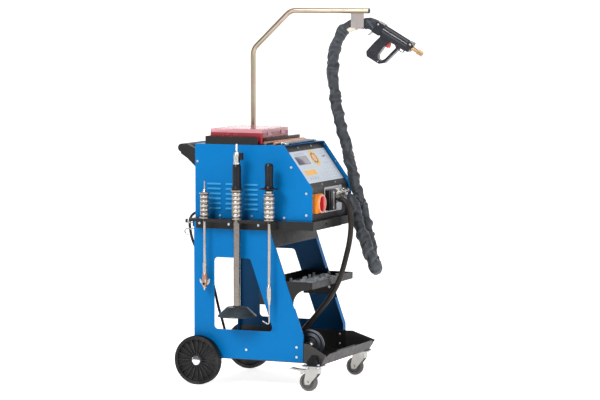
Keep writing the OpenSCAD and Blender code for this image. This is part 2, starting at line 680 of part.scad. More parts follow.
// Bent tube with a welded foot flange and socket
module tube_bend(angle) rotate_extrude(angle = angle) translate([bend_r, 0]) circle(r = mast_d / 2);
module mast() color(ZINC) place() {
    trim = bend_r * tan((90 - mast_angle) / 2);
    trim2 = bend_r * tan(mast_angle / 2);
    slope_len = norm([elbow_x - mast_x, mast_top - knee_z]);
    spigot_r = mast_d / 2 - 1;
    translate([mast_x, mast_y, roof_z]) {
        difference() {
            cylinder(r = 34, h = 4);
            for (p = mast_bolts) translate([p.x - mast_x, p.y - mast_y, -1]) cylinder(r = 3.2, h = 9);
        }
        cylinder(r = mast_d / 2 + 3, h = 46);
        cylinder(r = mast_d / 2, h = knee_z - trim - roof_z);
        translate([0, 0, knee_z - trim - roof_z - 4]) cylinder(r = spigot_r, h = 8);
    }
    translate([mast_x + bend_r, mast_y, knee_z - trim]) rotate([-90, 0, 0]) rotate([0, 0, 180])
        tube_bend(90 - mast_angle);
    translate([mast_x, mast_y, knee_z]) rotate([0, 90 - mast_angle, 0]) translate([0, 0, trim])
        {
            cylinder(r = mast_d / 2, h = slope_len - trim - trim2);
            translate([0, 0, -4]) cylinder(r = spigot_r, h = slope_len - trim - trim2 + 8);
        }
    translate([elbow_x + trim2, mast_y, mast_top - bend_r]) rotate([-90, 0, 0])
        rotate([0, 0, -90 - mast_angle]) tube_bend(mast_angle);
    x_rod(mast_y, mast_top, mast_d / 2, elbow_x + trim2, arm_end_x);
    x_rod(mast_y, mast_top, spigot_r, elbow_x + trim2 - 4, arm_end_x - 1);
}

// Hanger under the arm's end: a plate and a trough that holds the sleeve's top
cradle_x0 = 172;
cradle_x1 = 228;
module cradle() color(ZINC) place() {
    block([cradle_x0, mast_y - 5, 1445], [cradle_x1, mast_y - 2, mast_top - mast_d / 2 + 2]);
    difference() {
        translate([cradle_x0 + 12, gun_y, 1462]) rotate([0, 90, 0]) cylinder(r = sleeve_d / 2 + 3.2, h = 32);
        translate([cradle_x0, gun_y, 1462]) rotate([0, 90, 0]) cylinder(r = sleeve_d / 2 + 0.2, h = 60);
        block([cradle_x0 - 1, gun_y - 60, 1466], [cradle_x1 + 1, gun_y + 60, 1520]);
    }
}

// ---- gun: drawn along its own X axis with the nose forward, then tilted -------------------------
module gun_frame() translate([gun_x, gun_y, gun_z]) rotate([0, gun_tilt, 0]) children();
grip_outline = rounded([[45, -14], [47, -27], [38, -54], [25, -106], [37, -123], [98, -123],
    [117, -108], [124, -88], [139, -40], [142, -14]], 5, 3);
guard_outline = rounded([[95, -21], [120, -21], [130, -28], [125, -44], [112, -89], [101, -106],
    [84, -106], [76, -94], [81, -57]], 4, 3);
module gun_body() color([0.13, 0.14, 0.17]) place() gun_frame() difference() {
    union() {
        // rear block, barrel housing with its top rib, and front block
        xz_plate(rounded(box_outline(8, -24, 44, 27), 5), -20, 40);
        xz_plate(rounded(box_outline(40, -20, 172, 12), 4), -17, 34);
        x_rod(0, 5, 19.5, 30, 172);
        block([30, -4, 18], [172, 4, 26.5]);
        xz_plate(rounded(box_outline(166, -17, nose_a, 26), 5), -20, 40);
        difference() {
            xz_plate(grip_outline, -13, 26);
            xz_plate(guard_outline, -14, 28);
        }
        // oval hanging eye under the nose
        translate([152, 0, -26]) rotate([90, 0, 0]) scale([1, 0.68, 1]) rotate_extrude()
            translate([11, 0]) circle(r = 2.4, $fn = 24);
    }
    // trigger pocket and the socket for the nozzle
    block([66, -5.2, -51.5], [110, 5.2, -18]);
    x_rod(0, barrel_b, 8.05, nose_a - 12, nose_a + 1);
}
module gun_trigger() color([0.80, 0.22, 0.20]) place() gun_frame()
    xz_plate(rounded([[74, -20], [95, -20], [101.5, -32], [103, -45], [94, -50], [74, -47]], 1.6, 3), -5, 10);
module gun_nozzle() color([0.82, 0.62, 0.30]) place() gun_frame() translate([nose_a, 0, barrel_b])
    rotate([0, 90, 0]) difference() {
        union() {
            translate([0, 0, -11]) cylinder(r = 8, h = 12);
            cylinder(r = 7.5, h = 29);
            translate([0, 0, 28]) cylinder(r = nozzle_hex_r, h = nozzle_l - 28, $fn = 6);
        }
        translate([0, 0, nozzle_l - 22]) cylinder(r = nozzle_bore_r, h = 23);
    }

// ---- wheels -----------------------------------------------------------------------------------
module rear_wheel(side) translate([axle_x, side * wheel_out, 100]) rotate([90 * side, 0, 0]) {
    r = wheel_d / 2;
    rotate_extrude($fn = 72) polygon([[axle_r + spin_gap, 0], [22, 0], [24, 3], [24, 15], [83, 17],
        [85, 2], [89, 0], [r - 6, 0], [r, 5], [r, wheel_w - 5], [r - 6, wheel_w], [85, wheel_w],
        [83, 24], [24, 22], [22, wheel_w], [axle_r + spin_gap, wheel_w]]);
    for (a = [0:360 / wheel_ribs:359]) rotate([0, 0, a]) block([23, -1.2, 4], [84.5, 1.2, 16.5]);
}
module rear_wheel_near() color(BLACK) place() rear_wheel(near);
module rear_wheel_far() color(BLACK) place() rear_wheel(far);

caster_axle_z = caster_d / 2;
module caster_plate(side) translate([caster_x, side * caster_y, 0]) difference() {
    union() {
        translate([0, 0, caster_top - 3]) linear_extrude(3)
            polygon(rounded([[-38, -34], [38, -34], [38, 34], [-38, 34]], 6));
        translate([0, 0, 95.5]) cylinder(r = 27, h = 7);
        translate([0, 0, 82]) cylinder(r = kingpin_r, h = 14);
        translate([0, 0, 84]) cylinder(r = 9, h = 4.5);
    }
    for (b = caster_bolts) translate([b.x, b.y, 90]) cylinder(r = 4.2, h = 20);
}
module caster_plates() color(ZINC) place() {
    caster_plate(near);
    caster_plate(far);
}

// Swivelling fork with its axle bolt
module fork(side) translate([caster_x, side * caster_y, 0]) {
    difference() {
        union() {
            translate([0, 0, 89]) cylinder(r = 27, h = 6);
            for (s = [near, far]) side_plate(s, rounded([[-26, 95], [26, 95], [20, 70], [-14, 28],
                [-34, 28], [-36, 46]], 5), 16, 2.5);
            block([22, -18.5, 74], [24, 18.5, 95]);
        }
        translate([0, 0, 80]) cylinder(r = kingpin_r + spin_gap, h = 20);
        y_rod(-caster_trail, caster_axle_z, caster_axle_r - 0.5, -30, 30);
    }
    y_rod(-caster_trail, caster_axle_z, caster_axle_r, -20.5, 20.5);
    for (s = [near, far]) translate([-caster_trail, s * 18.5, caster_axle_z]) rotate([-90 * s, 0, 0])
        cylinder(r = 7, h = 4, $fn = 6);
}
module caster_near_fork() color(ZINC) place() fork(near);
module caster_far_fork() color(ZINC) place() fork(far);

module caster_wheel(side) translate([caster_x - caster_trail, side * caster_y, caster_axle_z])
    rotate([90, 0, 0]) rotate_extrude($fn = 64) {
        r = caster_d / 2;
        h = caster_wheel_w / 2;
        polygon([[caster_axle_r + spin_gap, -h - 2], [11, -h - 2], [12, -h + 3], [24, -h + 4],
            [26, -h], [r - 6, -h], [r - 1, -h + 5], [r, 0], [r - 1, h - 5], [r - 6, h], [26, h],
            [24, h - 4], [12, h - 3], [11, h + 2], [caster_axle_r + spin_gap, h + 2]]);
    }
module caster_near_wheel() color([0.42, 0.41, 0.40]) place() caster_wheel(near);
module caster_far_wheel() color([0.42, 0.41, 0.40]) place() caster_wheel(far);

// Foot lever that presses a pad on the near caster's tread
brake_x = -22;
brake_z = 82;
module caster_near_brake() color(ZINC) place() translate([caster_x, -caster_y, 0]) {
    y_rod(brake_x, brake_z, 3, -15.8, 15.8);
    xz_plate([[brake_x - 3, brake_z - 3], [brake_x + 3, brake_z], [brake_x, brake_z + 5],
        [-70, 88], [-96, 92], [-106, 86], [-105, 83], [-95, 87], [-68, 82]], -14, 28);
    xz_plate([[-56, 66.6], [-38, 76.2], [-38, 84], [-56, 86]], -11, 22);
}

// ---- slide hammers: each hangs by its weight, and its shaft slides up through the weight -------
module hammer(x) translate([x, -hammer_y, 0]) children();

// A lathe-turned weight: a barrel with thin discs between two flanges, bored for its shaft
module weight(z0, z1, r, disc_r, flange_r, top_r, bore_r, discs) {
    pitch = (z1 - z0 - 16) / (discs + 1);
    rotate_extrude() polygon(concat(
        [[bore_r, z0], [flange_r, z0], [flange_r, z0 + 4], [r, z0 + 8]],
        [for (i = [1:discs], p = [[r, -1.5], [disc_r, -1.2], [disc_r, 1.2], [r, 1.5]])
            [p.x, z0 + 8 + i * pitch + p.y]],
        [[r, z1 - 8], [top_r, z1 - 4], [top_r, z1], [bore_r, z1]]));
}
module slide_weights() color(STEEL) place() {
    hammer(claw_x) weight(rail_top, claw_weight_z, 14.5, 18.5, 23, 22, claw_shaft_d / 2 + slide_gap, 4);
    hammer(vacuum_x) weight(rail_top, vacuum_weight_z, 18.5, 21.5, 23, 27, vacuum_tube_d / 2 + slide_gap, 5);
    hammer(hook_x) weight(rail_top, hook_weight_z, 20, 23.5, 25, 25, hook_shaft_d / 2 + slide_gap, 4);
}

module claw_shaft() color(STEEL) place() hammer(claw_x) {
    rotate_extrude() polygon([[0, 500], [claw_shaft_d / 2, 500], [claw_shaft_d / 2, claw_weight_z],
        [9, claw_weight_z], [9, claw_weight_z + 3], [4, claw_weight_z + 14], [3, claw_weight_z + 16],
        [3, 831], [0, 831]]);
}
// Copper chuck with a side hole and a star of pulling fins
module claw_head() color(COPPER) place() hammer(claw_x) difference() {
    union() {
        translate([0, 0, 457]) cylinder(r = 8, h = 43);
        rotate_extrude() polygon([[0, 402], [8, 402], [10, 408], [10, 452], [8, 457], [0, 457]]);
        rotate_extrude() polygon([[0, 388], [3, 388], [6, 396], [6, 402], [0, 402]]);
        for (a = [0:60:359]) rotate([90, 0, a])
            linear_extrude(1.6, center = true) polygon([[8, 422], [23, 434], [21, 420], [8.5, 406]]);
    }
    y_rod(0, 414, 5, -20, 20);
}

socket_top = vacuum_weight_z + 14;     // the tube ends here, inside the handle
tube_z = 322;                          // and starts here, inside the cup
module vacuum_tube() color(STEEL) place() hammer(vacuum_x) difference() {
    translate([0, 0, tube_z]) cylinder(r = vacuum_tube_d / 2, h = socket_top - tube_z);
    translate([0, 0, tube_z - 8]) cylinder(r = vacuum_tube_d / 2 - 3, h = 620);
}
// Handle with the air valve and its inlet nipple on top
nipple_r = 5;
valve_z = 934;
module vacuum_handle() color(BLACK) place() hammer(vacuum_x) difference() {
    union() {
        rotate_extrude() polygon([[0, socket_top], [vacuum_tube_d / 2 + 0.05, socket_top],
            [vacuum_tube_d / 2 + 0.05, vacuum_weight_z], [21, vacuum_weight_z],
            [21, vacuum_weight_z + 8], [18, vacuum_weight_z + 14], [17.5, 850], [17.5, 893], [14, 901],
            [13, 903], [13, 940], [10, 951], [7, 953], [nipple_r, 955], [nipple_r, 984], [0, 984]]);
        x_rod(0, valve_z, 8, 0, 16);
    }
    translate([0, 0, 960]) cylinder(r = 2.5, h = 30);
    x_rod(0, valve_z, 3.05, 8, 17);
}
// Quarter-turn valve knob on the handle's side
module vacuum_lever() color(BLACK) place() hammer(vacuum_x) {
    x_rod(0, valve_z, 3, 9, 17);
    translate([0, 0, valve_z]) yz_plate(rounded(box_outline(-7, -15, 7, 15), 4), 16.5, 10);
}
module vacuum_cup() color(BLACK) place() hammer(vacuum_x) rotate_extrude($fn = 72) {
    rim = cup_d / 2;
    socket = vacuum_tube_d / 2 + 0.05;
    polygon([[0, 314], [30, 314], [62, 298], [rim - 6, cup_z + 3], [rim - 1, cup_z],
        [rim, cup_z + 1], [rim - 2, cup_z + 5], [44, 324], [40, 327], [17, 328],
        [17, 331], [socket, 331], [socket, tube_z], [0, tube_z]]);
}

hook_z = 272.5;                        // the hook's bend starts here
hook_r = 8;
module hook_shaft() color(STEEL) place() hammer(hook_x) {
    rotate_extrude() polygon([[0, 340], [5, 340], [9, 368], [9, 412], [hook_shaft_d / 2, 420],
        [hook_shaft_d / 2, hook_weight_z + 12], [0, hook_weight_z + 12]]);
    translate([0, 0, hook_z]) cylinder(r = 3, h = 74);
    translate([-hook_r, 0, hook_z]) rotate([-90, 0, 0]) rotate_extrude(angle = 120)
        translate([hook_r, 0]) circle(r = 3, $fn = 24);
    translate([-1.5 * hook_r, 0, hook_z - hook_r * sin(60)]) rotate([0, -60, 0])
        translate([0, 0, -1]) cylinder(r = 2.9, h = 21);
}
module hook_handle() color(BLACK) place() hammer(hook_x) rotate_extrude()
    polygon([[0, hook_weight_z + 12], [hook_shaft_d / 2 + 0.05, hook_weight_z + 12],
        [hook_shaft_d / 2 + 0.05, hook_weight_z], [13, hook_weight_z],
        [14, 797], [20, 803], [38, 805], [38, 809], [20, 811], [17, 818], [15, 850], [17, 884],
        [17, 898], [13, 908], [0, 911]]);

// ---- loose tools lying in the trays ---------------------------------------------------------------
module lying_rod(x, y, z, r, l, turn) translate([x, y, z]) rotate([0, 0, turn])
    rotate([-90, 0, 0]) cylinder(r = r, h = l, center = true);
module claw_puller(x, y, a) translate([x, y, shelf_z + 2]) rotate([0, 0, a]) {
    cylinder(r = 13, h = 26);
    for (t = [0:90:359]) rotate([0, 0, t]) {
        block([9, -4.5, 12], [50, 4.5, 20]);
        translate([50, 0, 0]) cylinder(r = 5.5, h = 30);
    }
}
module loose_tools() color(COPPER) place() {
    lying_rod(-66, -5, roof_z + 7, 7, 345, -3.6);
    lying_rod(-77, 110, roof_z + 7, 7, 120, 0);
    block([-84, -175, roof_z + 14.2], [-72, 165, roof_z + 26]);
    lying_rod(-36, -16, roof_z + 6, 6, 332, 1.4);
    lying_rod(-12, -12, roof_z + 5.5, 5.5, 322, 2.6);
    lying_rod(9, -16, roof_z + 5, 5, 331, 2);
    claw_puller(66, -120, 20);
    claw_puller(76, -10, 55);
    claw_puller(70, 100, 5);
    translate([176, 60, tray_floor + 15]) rotate([90, 0, 0]) cylinder(r = 15, h = 200, center = true);
    translate([150, -20, tray_floor + 4]) rotate([90, 0, 0]) cylinder(r = 4, h = 190, center = true);
}

// ---- leads ----------------------------------------------------------------------------------------
// Black strap and wire hook behind the trolley that the mains lead hangs on
module cable_hook() color([0.25, 0.25, 0.26]) place() {
    block([-424, -196, 652], [-379, -176, 655]);
    block([-426, -196, 652], [-423, -176, 668]);
    x_rod(-186, 628, 2.5, -420, -379.5);
    translate([-420, -186, 616]) rotate([90, 0, 0]) rotate([0, 0, 90]) rotate_extrude(angle = 200)
        translate([12, 0]) circle(r = 2.5, $fn = 24);
    block([-382, -194, 620], [-379, -178, 655]);
}
module mains_gland() color(BLACK) place() {
    x_rod(gland_y, gland_z, 9, rear_x - 2, rear_x + 8);
    translate([rear_x - 8, gland_y, gland_z]) rotate([0, 90, 0]) cylinder(r = 13, h = 8, $fn = 6);
    translate([rear_x - 28, gland_y, gland_z]) rotate([0, 90, 0])
        cylinder(r1 = mains_d / 2 + 1.5, r2 = 10, h = 22);
}

// Route points of the leads, in the trolley's own axes
sleeve_route = [
    [151, 150, 748], [160, 150, 747], [173, 146, 734], [185, 140, 704], [201, 128, 662],
    [219, 115, 625], [240, 98, 590], [261, 84, 555], [279, 82, 515], [285, 102, 480],
    [277, 140, 462], [257, 184, 468], [234, 220, 498], [216, 236, 545], [206, 234, 600],
    [197, 224, 660], [186, 212, 710], [175, 200, 755], [164, 190, 808], [155, 180, 860],
    [145, 166, 925], [133, 156, 986], [115, 152, 1050], [101, 152, 1110], [88, 152, 1190],
    [82, 152, 1260], [84, 152, 1320], [97, 152, 1376], [125, 152, 1428], [153, 152, 1452],
    [180, 152, 1462], [200, 152, 1462], [220, 152, 1462], [240, 152, 1461.5], [256, 152, 1458.6],
    [271.4, 152, 1450.8]
];
ground_route = [
    [150, 60, 748], [172, 58, 742], [190, 55, 722], [200, 52, 690], [205, 48, 650], [204, 44, 605],
    [199, 38, 560], [190, 32, 515], [180, 26, 470], [167, 20, 425], [149, 12, 383], [122, 4, 338],
    [88, -5, 292], [52, -14, 247], [20, -22, 209], [-8, -27, 177], [-26, -29, 154], [-42, -30, 143]
];
ground_tail = [
    [60, 70, 121], [62, 44, 122], [68, 14, 126], [76, -20, 132], [86, -54, 141], [95, -86, 156],
    [103, -112, 170], [108, -138, 174]
];
mains_route = [
    [-403, -110, 690], [-416, -110, 688], [-428, -110, 682], [-438, -110, 673], [-445, -110, 659],
    [-447, -110, 644], [-443, -112, 615], [-434, -118, 588], [-419, -128, 562], [-398, -138, 532],
    [-374, -146, 497], [-350, -150, 462], [-330, -150, 425], [-316, -150, 380], [-306, -150, 340],
    [-296, -150, 300], [-283, -151, 262], [-272, -153, 228], [-262, -157, 198], [-250, -162, 174],
    [-234, -167, 157], [-214, -170, 149]
];
mains_tail = [
    [-230, -49.5, 115.5], [-252, -47, 116], [-272, -38, 119], [-288, -22, 125], [-298, -2, 132],
    [-302, 20, 137]
];

// Catmull-Rom curve through a list of points, with k rings to each stretch
function spline_point(p, i, t) =
    let (n = len(p), a = p[max(i - 1, 0)], b = p[i], c = p[min(i + 1, n - 1)], d = p[min(i + 2, n - 1)])
    0.5 * (2 * b + (c - a) * t + (2 * a - 5 * b + 4 * c - d) * t * t + (3 * b - a - 3 * c + d) * t * t * t);
function spline(p, k) = concat(
    [for (i = [0:len(p) - 2], j = [0:k - 1]) spline_point(p, i, j / k)], [p[len(p) - 1]]);

// One closed polyhedron of m sides swept along a list of points
module tube(path, r, m) {
    n = len(path);
    dirs = [for (i = [0:n - 1]) unit(path[min(i + 1, n - 1)] - path[max(i - 1, 0)])];
    side = [0.35, 0.93, 0.1];
    pts = [for (i = [0:n - 1])
        let (u = unit(side - dirs[i] * (side * dirs[i])), v = cross(dirs[i], u))
        for (j = [0:m - 1]) path[i] + r * (u * cos(360 * j / m) + v * sin(360 * j / m))];
    quads = [for (i = [0:n - 2], j = [0:m - 1])
        [i * m + j, i * m + (j + 1) % m, (i + 1) * m + (j + 1) % m, (i + 1) * m + j]];
    polyhedron(points = pts, faces = concat(quads,
        [[for (j = [m - 1:-1:0]) j], [for (j = [0:m - 1]) (n - 1) * m + j]]), convexity = 8);
}

ground_turn_r = 100;
ground_centre = [-40, 70];
mains_turn_r = 60;
mains_centre = [-230, -110];
plug_at = [-302, 20, 137];

module sleeve() color(SLATE) place() tube(sleeve_route, sleeve_d / 2, 12);
module ground_cable() color([0.16, 0.14, 0.14]) place() {
    tube(ground_route, ground_d / 2, 8);
    tube(ground_tail, ground_d / 2, 8);
}
module ground_coil() color([0.16, 0.14, 0.14]) place()
    translate([ground_centre.x, ground_centre.y, tray_floor]) rotate_extrude()
        translate([ground_turn_r - ground_d / 2, 0]) square([ground_d, 2 * ground_d]);
module mains_cable() color(BLACK) place() {
    tube(mains_route, mains_d / 2, 8);
    tube(mains_tail, mains_d / 2, 8);
}
module mains_coil() color(BLACK) place()
    translate([mains_centre.x, mains_centre.y, tray_floor]) rotate_extrude()
        translate([mains_turn_r - mains_d, 0]) square([2 * mains_d, 3 * mains_d]);
// Industrial plug at the end of the mains lead
module mains_plug() color([0.75, 0.13, 0.12]) place() translate(plug_at) rotate([-90, 0, 0]) {
    cylinder(r1 = 10, r2 = 22, h = 30);
    translate([0, 0, 30]) cylinder(r = 24, h = 46);
    difference() {
        translate([0, 0, 76]) cylinder(r = 26, h = 30);
        translate([0, 0, 82]) cylinder(r = 23, h = 30);
    }
    for (a = [0:90:359]) rotate([0, 0, a]) translate([13, 0, 80]) cylinder(r = 2.5, h = 22);
}
// Contact disc that the earth cable ends in: a rubber rim round a turned steel face
disc_x = 108;
disc_z = tray_floor + 64;
module earth_disc() color([0.18, 0.19, 0.21]) place() translate([disc_x, -138, disc_z]) rotate([90, 0, 0])
    rotate_extrude($fn = 64) polygon([[0, 0], [12, 0], [14, 2], [57, 3], [62, 6], [62, 12], [55, 14],
        [48, 12], [36, 15], [30, 13], [16, 15], [10, 22], [4, 24], [0, 24]]);

side_panel_near();
side_panel_far();
upper_tray();
tool_rail();
cross_brace();
middle_shelf();
lower_tray();
caster_brackets();
axle();
hub_caps();
screws();
cabinet_cover();
cabinet_base();
front_panel();
control_label();
isolator_base();
terminal_block();
output_clamps();
transformer_core();
transformer_coils();
power_board();
fan_frame();
fan_rotor();
isolator_knob();
top_tray();
case_base();
case_lid();
push_handle();
mast();
cradle();
gun_body();
gun_nozzle();
gun_trigger();
rear_wheel_near();
rear_wheel_far();
caster_plates();
caster_near_fork();
caster_near_wheel();
caster_near_brake();
caster_far_fork();
caster_far_wheel();
slide_weights();
claw_shaft();
claw_head();
vacuum_tube();
vacuum_handle();
vacuum_lever();
vacuum_cup();
hook_shaft();
hook_handle();
loose_tools();
cable_hook();
mains_gland();
sleeve();
ground_cable();
ground_coil();
earth_disc();
mains_cable();
mains_coil();
mains_plug();
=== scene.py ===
import math
import random

import bmesh
import bpy
import numpy as np
from mathutils import Matrix, Vector


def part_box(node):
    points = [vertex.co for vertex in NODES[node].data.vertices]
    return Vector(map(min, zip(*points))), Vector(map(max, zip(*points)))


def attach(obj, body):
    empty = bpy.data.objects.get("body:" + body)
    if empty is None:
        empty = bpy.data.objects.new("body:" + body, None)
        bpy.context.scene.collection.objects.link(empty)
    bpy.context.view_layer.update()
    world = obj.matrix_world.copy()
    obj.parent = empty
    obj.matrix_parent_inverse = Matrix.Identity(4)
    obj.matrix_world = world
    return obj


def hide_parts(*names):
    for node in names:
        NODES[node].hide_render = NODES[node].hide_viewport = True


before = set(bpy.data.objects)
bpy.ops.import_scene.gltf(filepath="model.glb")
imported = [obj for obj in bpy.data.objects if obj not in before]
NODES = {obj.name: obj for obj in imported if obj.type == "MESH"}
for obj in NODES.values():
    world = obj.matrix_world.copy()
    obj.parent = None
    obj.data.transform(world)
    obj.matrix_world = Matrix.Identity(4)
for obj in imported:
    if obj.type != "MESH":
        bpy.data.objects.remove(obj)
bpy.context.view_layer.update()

# ---- the trolley's own axes ---------------------------------------------------------------------
# Sizes below are in millimetres from the point on the floor midway between the side panels.
axle_low, axle_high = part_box("axle")
SHIFT = (axle_low + axle_high) / 2 - Vector((-0.343, 0, 0.1))


def at(x, y, z):
    return Vector((x, y, z)) / 1000 + SHIFT


# ---- camera -------------------------------------------------------------------------------------
AZIMUTH, DOWN, DISTANCE, EYE = math.radians(23.403), math.radians(4.609), 10841, 1618
scene = bpy.context.scene
camera = bpy.data.objects.new("camera", bpy.data.cameras.new("camera"))
scene.collection.objects.link(camera)
camera.location = at(DISTANCE * math.sin(AZIMUTH), -DISTANCE * math.cos(AZIMUTH), EYE)
look = Vector((-math.sin(AZIMUTH) * math.cos(DOWN), math.cos(AZIMUTH) * math.cos(DOWN), -math.sin(DOWN)))
camera.rotation_mode = "QUATERNION"
camera.rotation_quaternion = look.to_track_quat("-Z", "Y")
camera.data.sensor_width = 36
camera.data.lens = 159.92
camera.data.clip_end = 200
scene.camera = camera


# ---- mesh helpers ---------------------------------------------------------------------------------
def add_mesh(name, points, faces, body="trolley", smooth=True):
    data = bpy.data.meshes.new(name)
    data.from_pydata([tuple(p) for p in points], [], faces)
    data.update()
    if smooth:
        data.polygons.foreach_set("use_smooth", [True] * len(data.polygons))
    obj = bpy.data.objects.new(name, data)
    scene.collection.objects.link(obj)
    if body:
        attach(obj, body)
    return obj


def spline(points, step):
    """Catmull-Rom curve through the points, sampled about every step metres."""
    p = [np.array(v, float) for v in points]
    out = []
    for i in range(len(p) - 1):
        a, b, c, d = p[max(i - 1, 0)], p[i], p[i + 1], p[min(i + 2, len(p) - 1)]
        n = max(2, int(np.linalg.norm(c - b) / step + 0.5))
        for j in range(n):
            t = j / n
            out.append(0.5 * (2 * b + (c - a) * t + (2 * a - 5 * b + 4 * c - d) * t * t
                              + (3 * b - a - 3 * c + d) * t ** 3))
    out.append(p[-1])
    return np.array(out)


def transport(path):
    """Tangent and two steady side directions at each point of a path."""
    tangent = np.gradient(path, axis=0)
    tangent /= np.linalg.norm(tangent, axis=1)[:, None]
    side = np.cross(tangent[0], [0.3, 0.2, 1.0])
    side /= np.linalg.norm(side)
    sides = [side]
    for i in range(1, len(path)):
        side = sides[-1] - tangent[i] * (sides[-1] @ tangent[i])
        sides.append(side / np.linalg.norm(side))
    sides = np.array(sides)
    return tangent, sides, np.cross(tangent, sides)


def sweep(name, path, radius, sides=16, body="trolley"):
    """Closed tube along path; radius is a number or an array of one value per ring and side."""
    u, v = transport(path)[1:]
    angle = np.linspace(0, 2 * math.pi, sides, endpoint=False)
    radius = np.broadcast_to(np.asarray(radius, float), (len(path), sides)) if np.ndim(radius) != 1 \
        else np.repeat(np.asarray(radius)[:, None], sides, 1)
    ring = (u[:, None, :] * np.cos(angle)[None, :, None] + v[:, None, :] * np.sin(angle)[None, :, None])
    pts = (path[:, None, :] + ring * radius[:, :, None]).reshape(-1, 3)
    n = len(path)
    faces = [(i * sides + j, i * sides + (j + 1) % sides, (i + 1) * sides + (j + 1) % sides,
              (i + 1) * sides + j) for i in range(n - 1) for j in range(sides)]
    faces.append(tuple(range(sides - 1, -1, -1)))
    faces.append(tuple((n - 1) * sides + j for j in range(sides)))
    return add_mesh(name, pts, faces, body)


class Shape:
    """Points and faces gathered from lofts, each face with a material number."""

    def __init__(self):
        self.points, self.faces, self.kinds = [], [], []

    def loft(self, rings, kind=0, loop=False):
        """Skin over rings of equal length, capped at both ends unless the rings loop round."""
        first, n = len(self.points), len(rings[0])
        for ring in rings:
            self.points.extend(Vector(p) for p in ring)
        last = len(rings) if loop else len(rings) - 1
        for i in range(last):
            a, b = first + i * n, first + (i + 1) % len(rings) * n
            for j in range(n):
                k = (j + 1) % n
                self.add((a + j, a + k, b + k, b + j), kind)
        if not loop:
            self.add(tuple(range(first + n - 1, first - 1, -1)), kind)
            self.add(tuple(range(first + (len(rings) - 1) * n, first + len(rings) * n)), kind)

    def add(self, face, kind):
        self.faces.append(face)
        self.kinds.append(kind)

    def plate(self, outline, place, low, high, edge=0.0, kind=0):
        """A plate with chamfered edges; place turns (u, v, height) into a point."""
        inner = inset(outline, edge)
        self.loft([[place(u, v, low) for u, v in outline],
                   [place(u, v, high - edge) for u, v in outline],
                   [place(u, v, high) for u, v in inner]], kind)

    def lathe(self, profile, place, n=32, kind=0, radius=None):
        """Closed profile of (radius, height) turned round; radius(r, angle) may change each radius."""
        rings = []
        for i in range(n):
            a = 2 * math.pi * i / n
            rings.append([place(*polar(radius(r, a) if radius else r, a), h) for r, h in profile])
        self.loft(rings, kind, loop=True)

    def dome(self, place, r, h, n=16, kind=0):
        """A low button head."""
        self.loft([[place(*polar(r * k, 2 * math.pi * i / n), h * z) for i in range(n)]
                   for k, z in ((1, 0), (1, 0.35), (0.86, 0.72), (0.55, 0.95), (0.2, 1))], kind)

    def build(self, name, materials, body="trolley", smooth=0.6):
        obj = add_mesh(name, self.points, self.faces, body, smooth=False)
        for material in materials:
            obj.data.materials.append(MAT[material])
        obj.data.polygons.foreach_set("material_index", self.kinds)
        tidy_normals(obj, smooth)
        return obj


def tidy_normals(obj, angle):
    """Outward faces, shaded smooth except across edges sharper than angle."""
    mesh = bmesh.new()
    mesh.from_mesh(obj.data)
    bmesh.ops.recalc_face_normals(mesh, faces=mesh.faces)
    for face in mesh.faces:
        face.smooth = True
    for edge in mesh.edges:
        edge.smooth = len(edge.link_faces) == 2 and edge.calc_face_angle(0) < angle
    mesh.to_mesh(obj.data)
    mesh.free()


def polar(r, a):
    return r * math.cos(a), r * math.sin(a)


def inset(outline, d):
    """The outline moved inwards by d."""
    if not d:
        return outline
    n = len(outline)
    out = []
    for i, (x, y) in enumerate(outline):
        (ax, ay), (bx, by) = outline[i - 1], outline[(i + 1) % n]
        tx, ty = bx - ax, by - ay
        k = math.hypot(tx, ty)
        out.append((x - ty / k * d, y + tx / k * d))
    return out


def rounded_box(u, v, width, height, r, steps=4):
    """Anticlockwise outline of a box centred on (u, v) with round corners."""
    out = []
    for k, (su, sv) in enumerate(((1, 1), (-1, 1), (-1, -1), (1, -1))):
        for i in range(steps + 1):
            a = math.pi / 2 * (k + i / steps)
            out.append((u + su * (width / 2 - r) + r * math.cos(a),
                        v + sv * (height / 2 - r) + r * math.sin(a)))
    return out


def disc(u, v, r, n=40, wave=0.0, teeth=0):
    return [(u + (r + wave * math.cos(teeth * a)) * math.cos(a),
             v + (r + wave * math.cos(teeth * a)) * math.sin(a))
            for a in (2 * math.pi * i / n for i in range(n))]


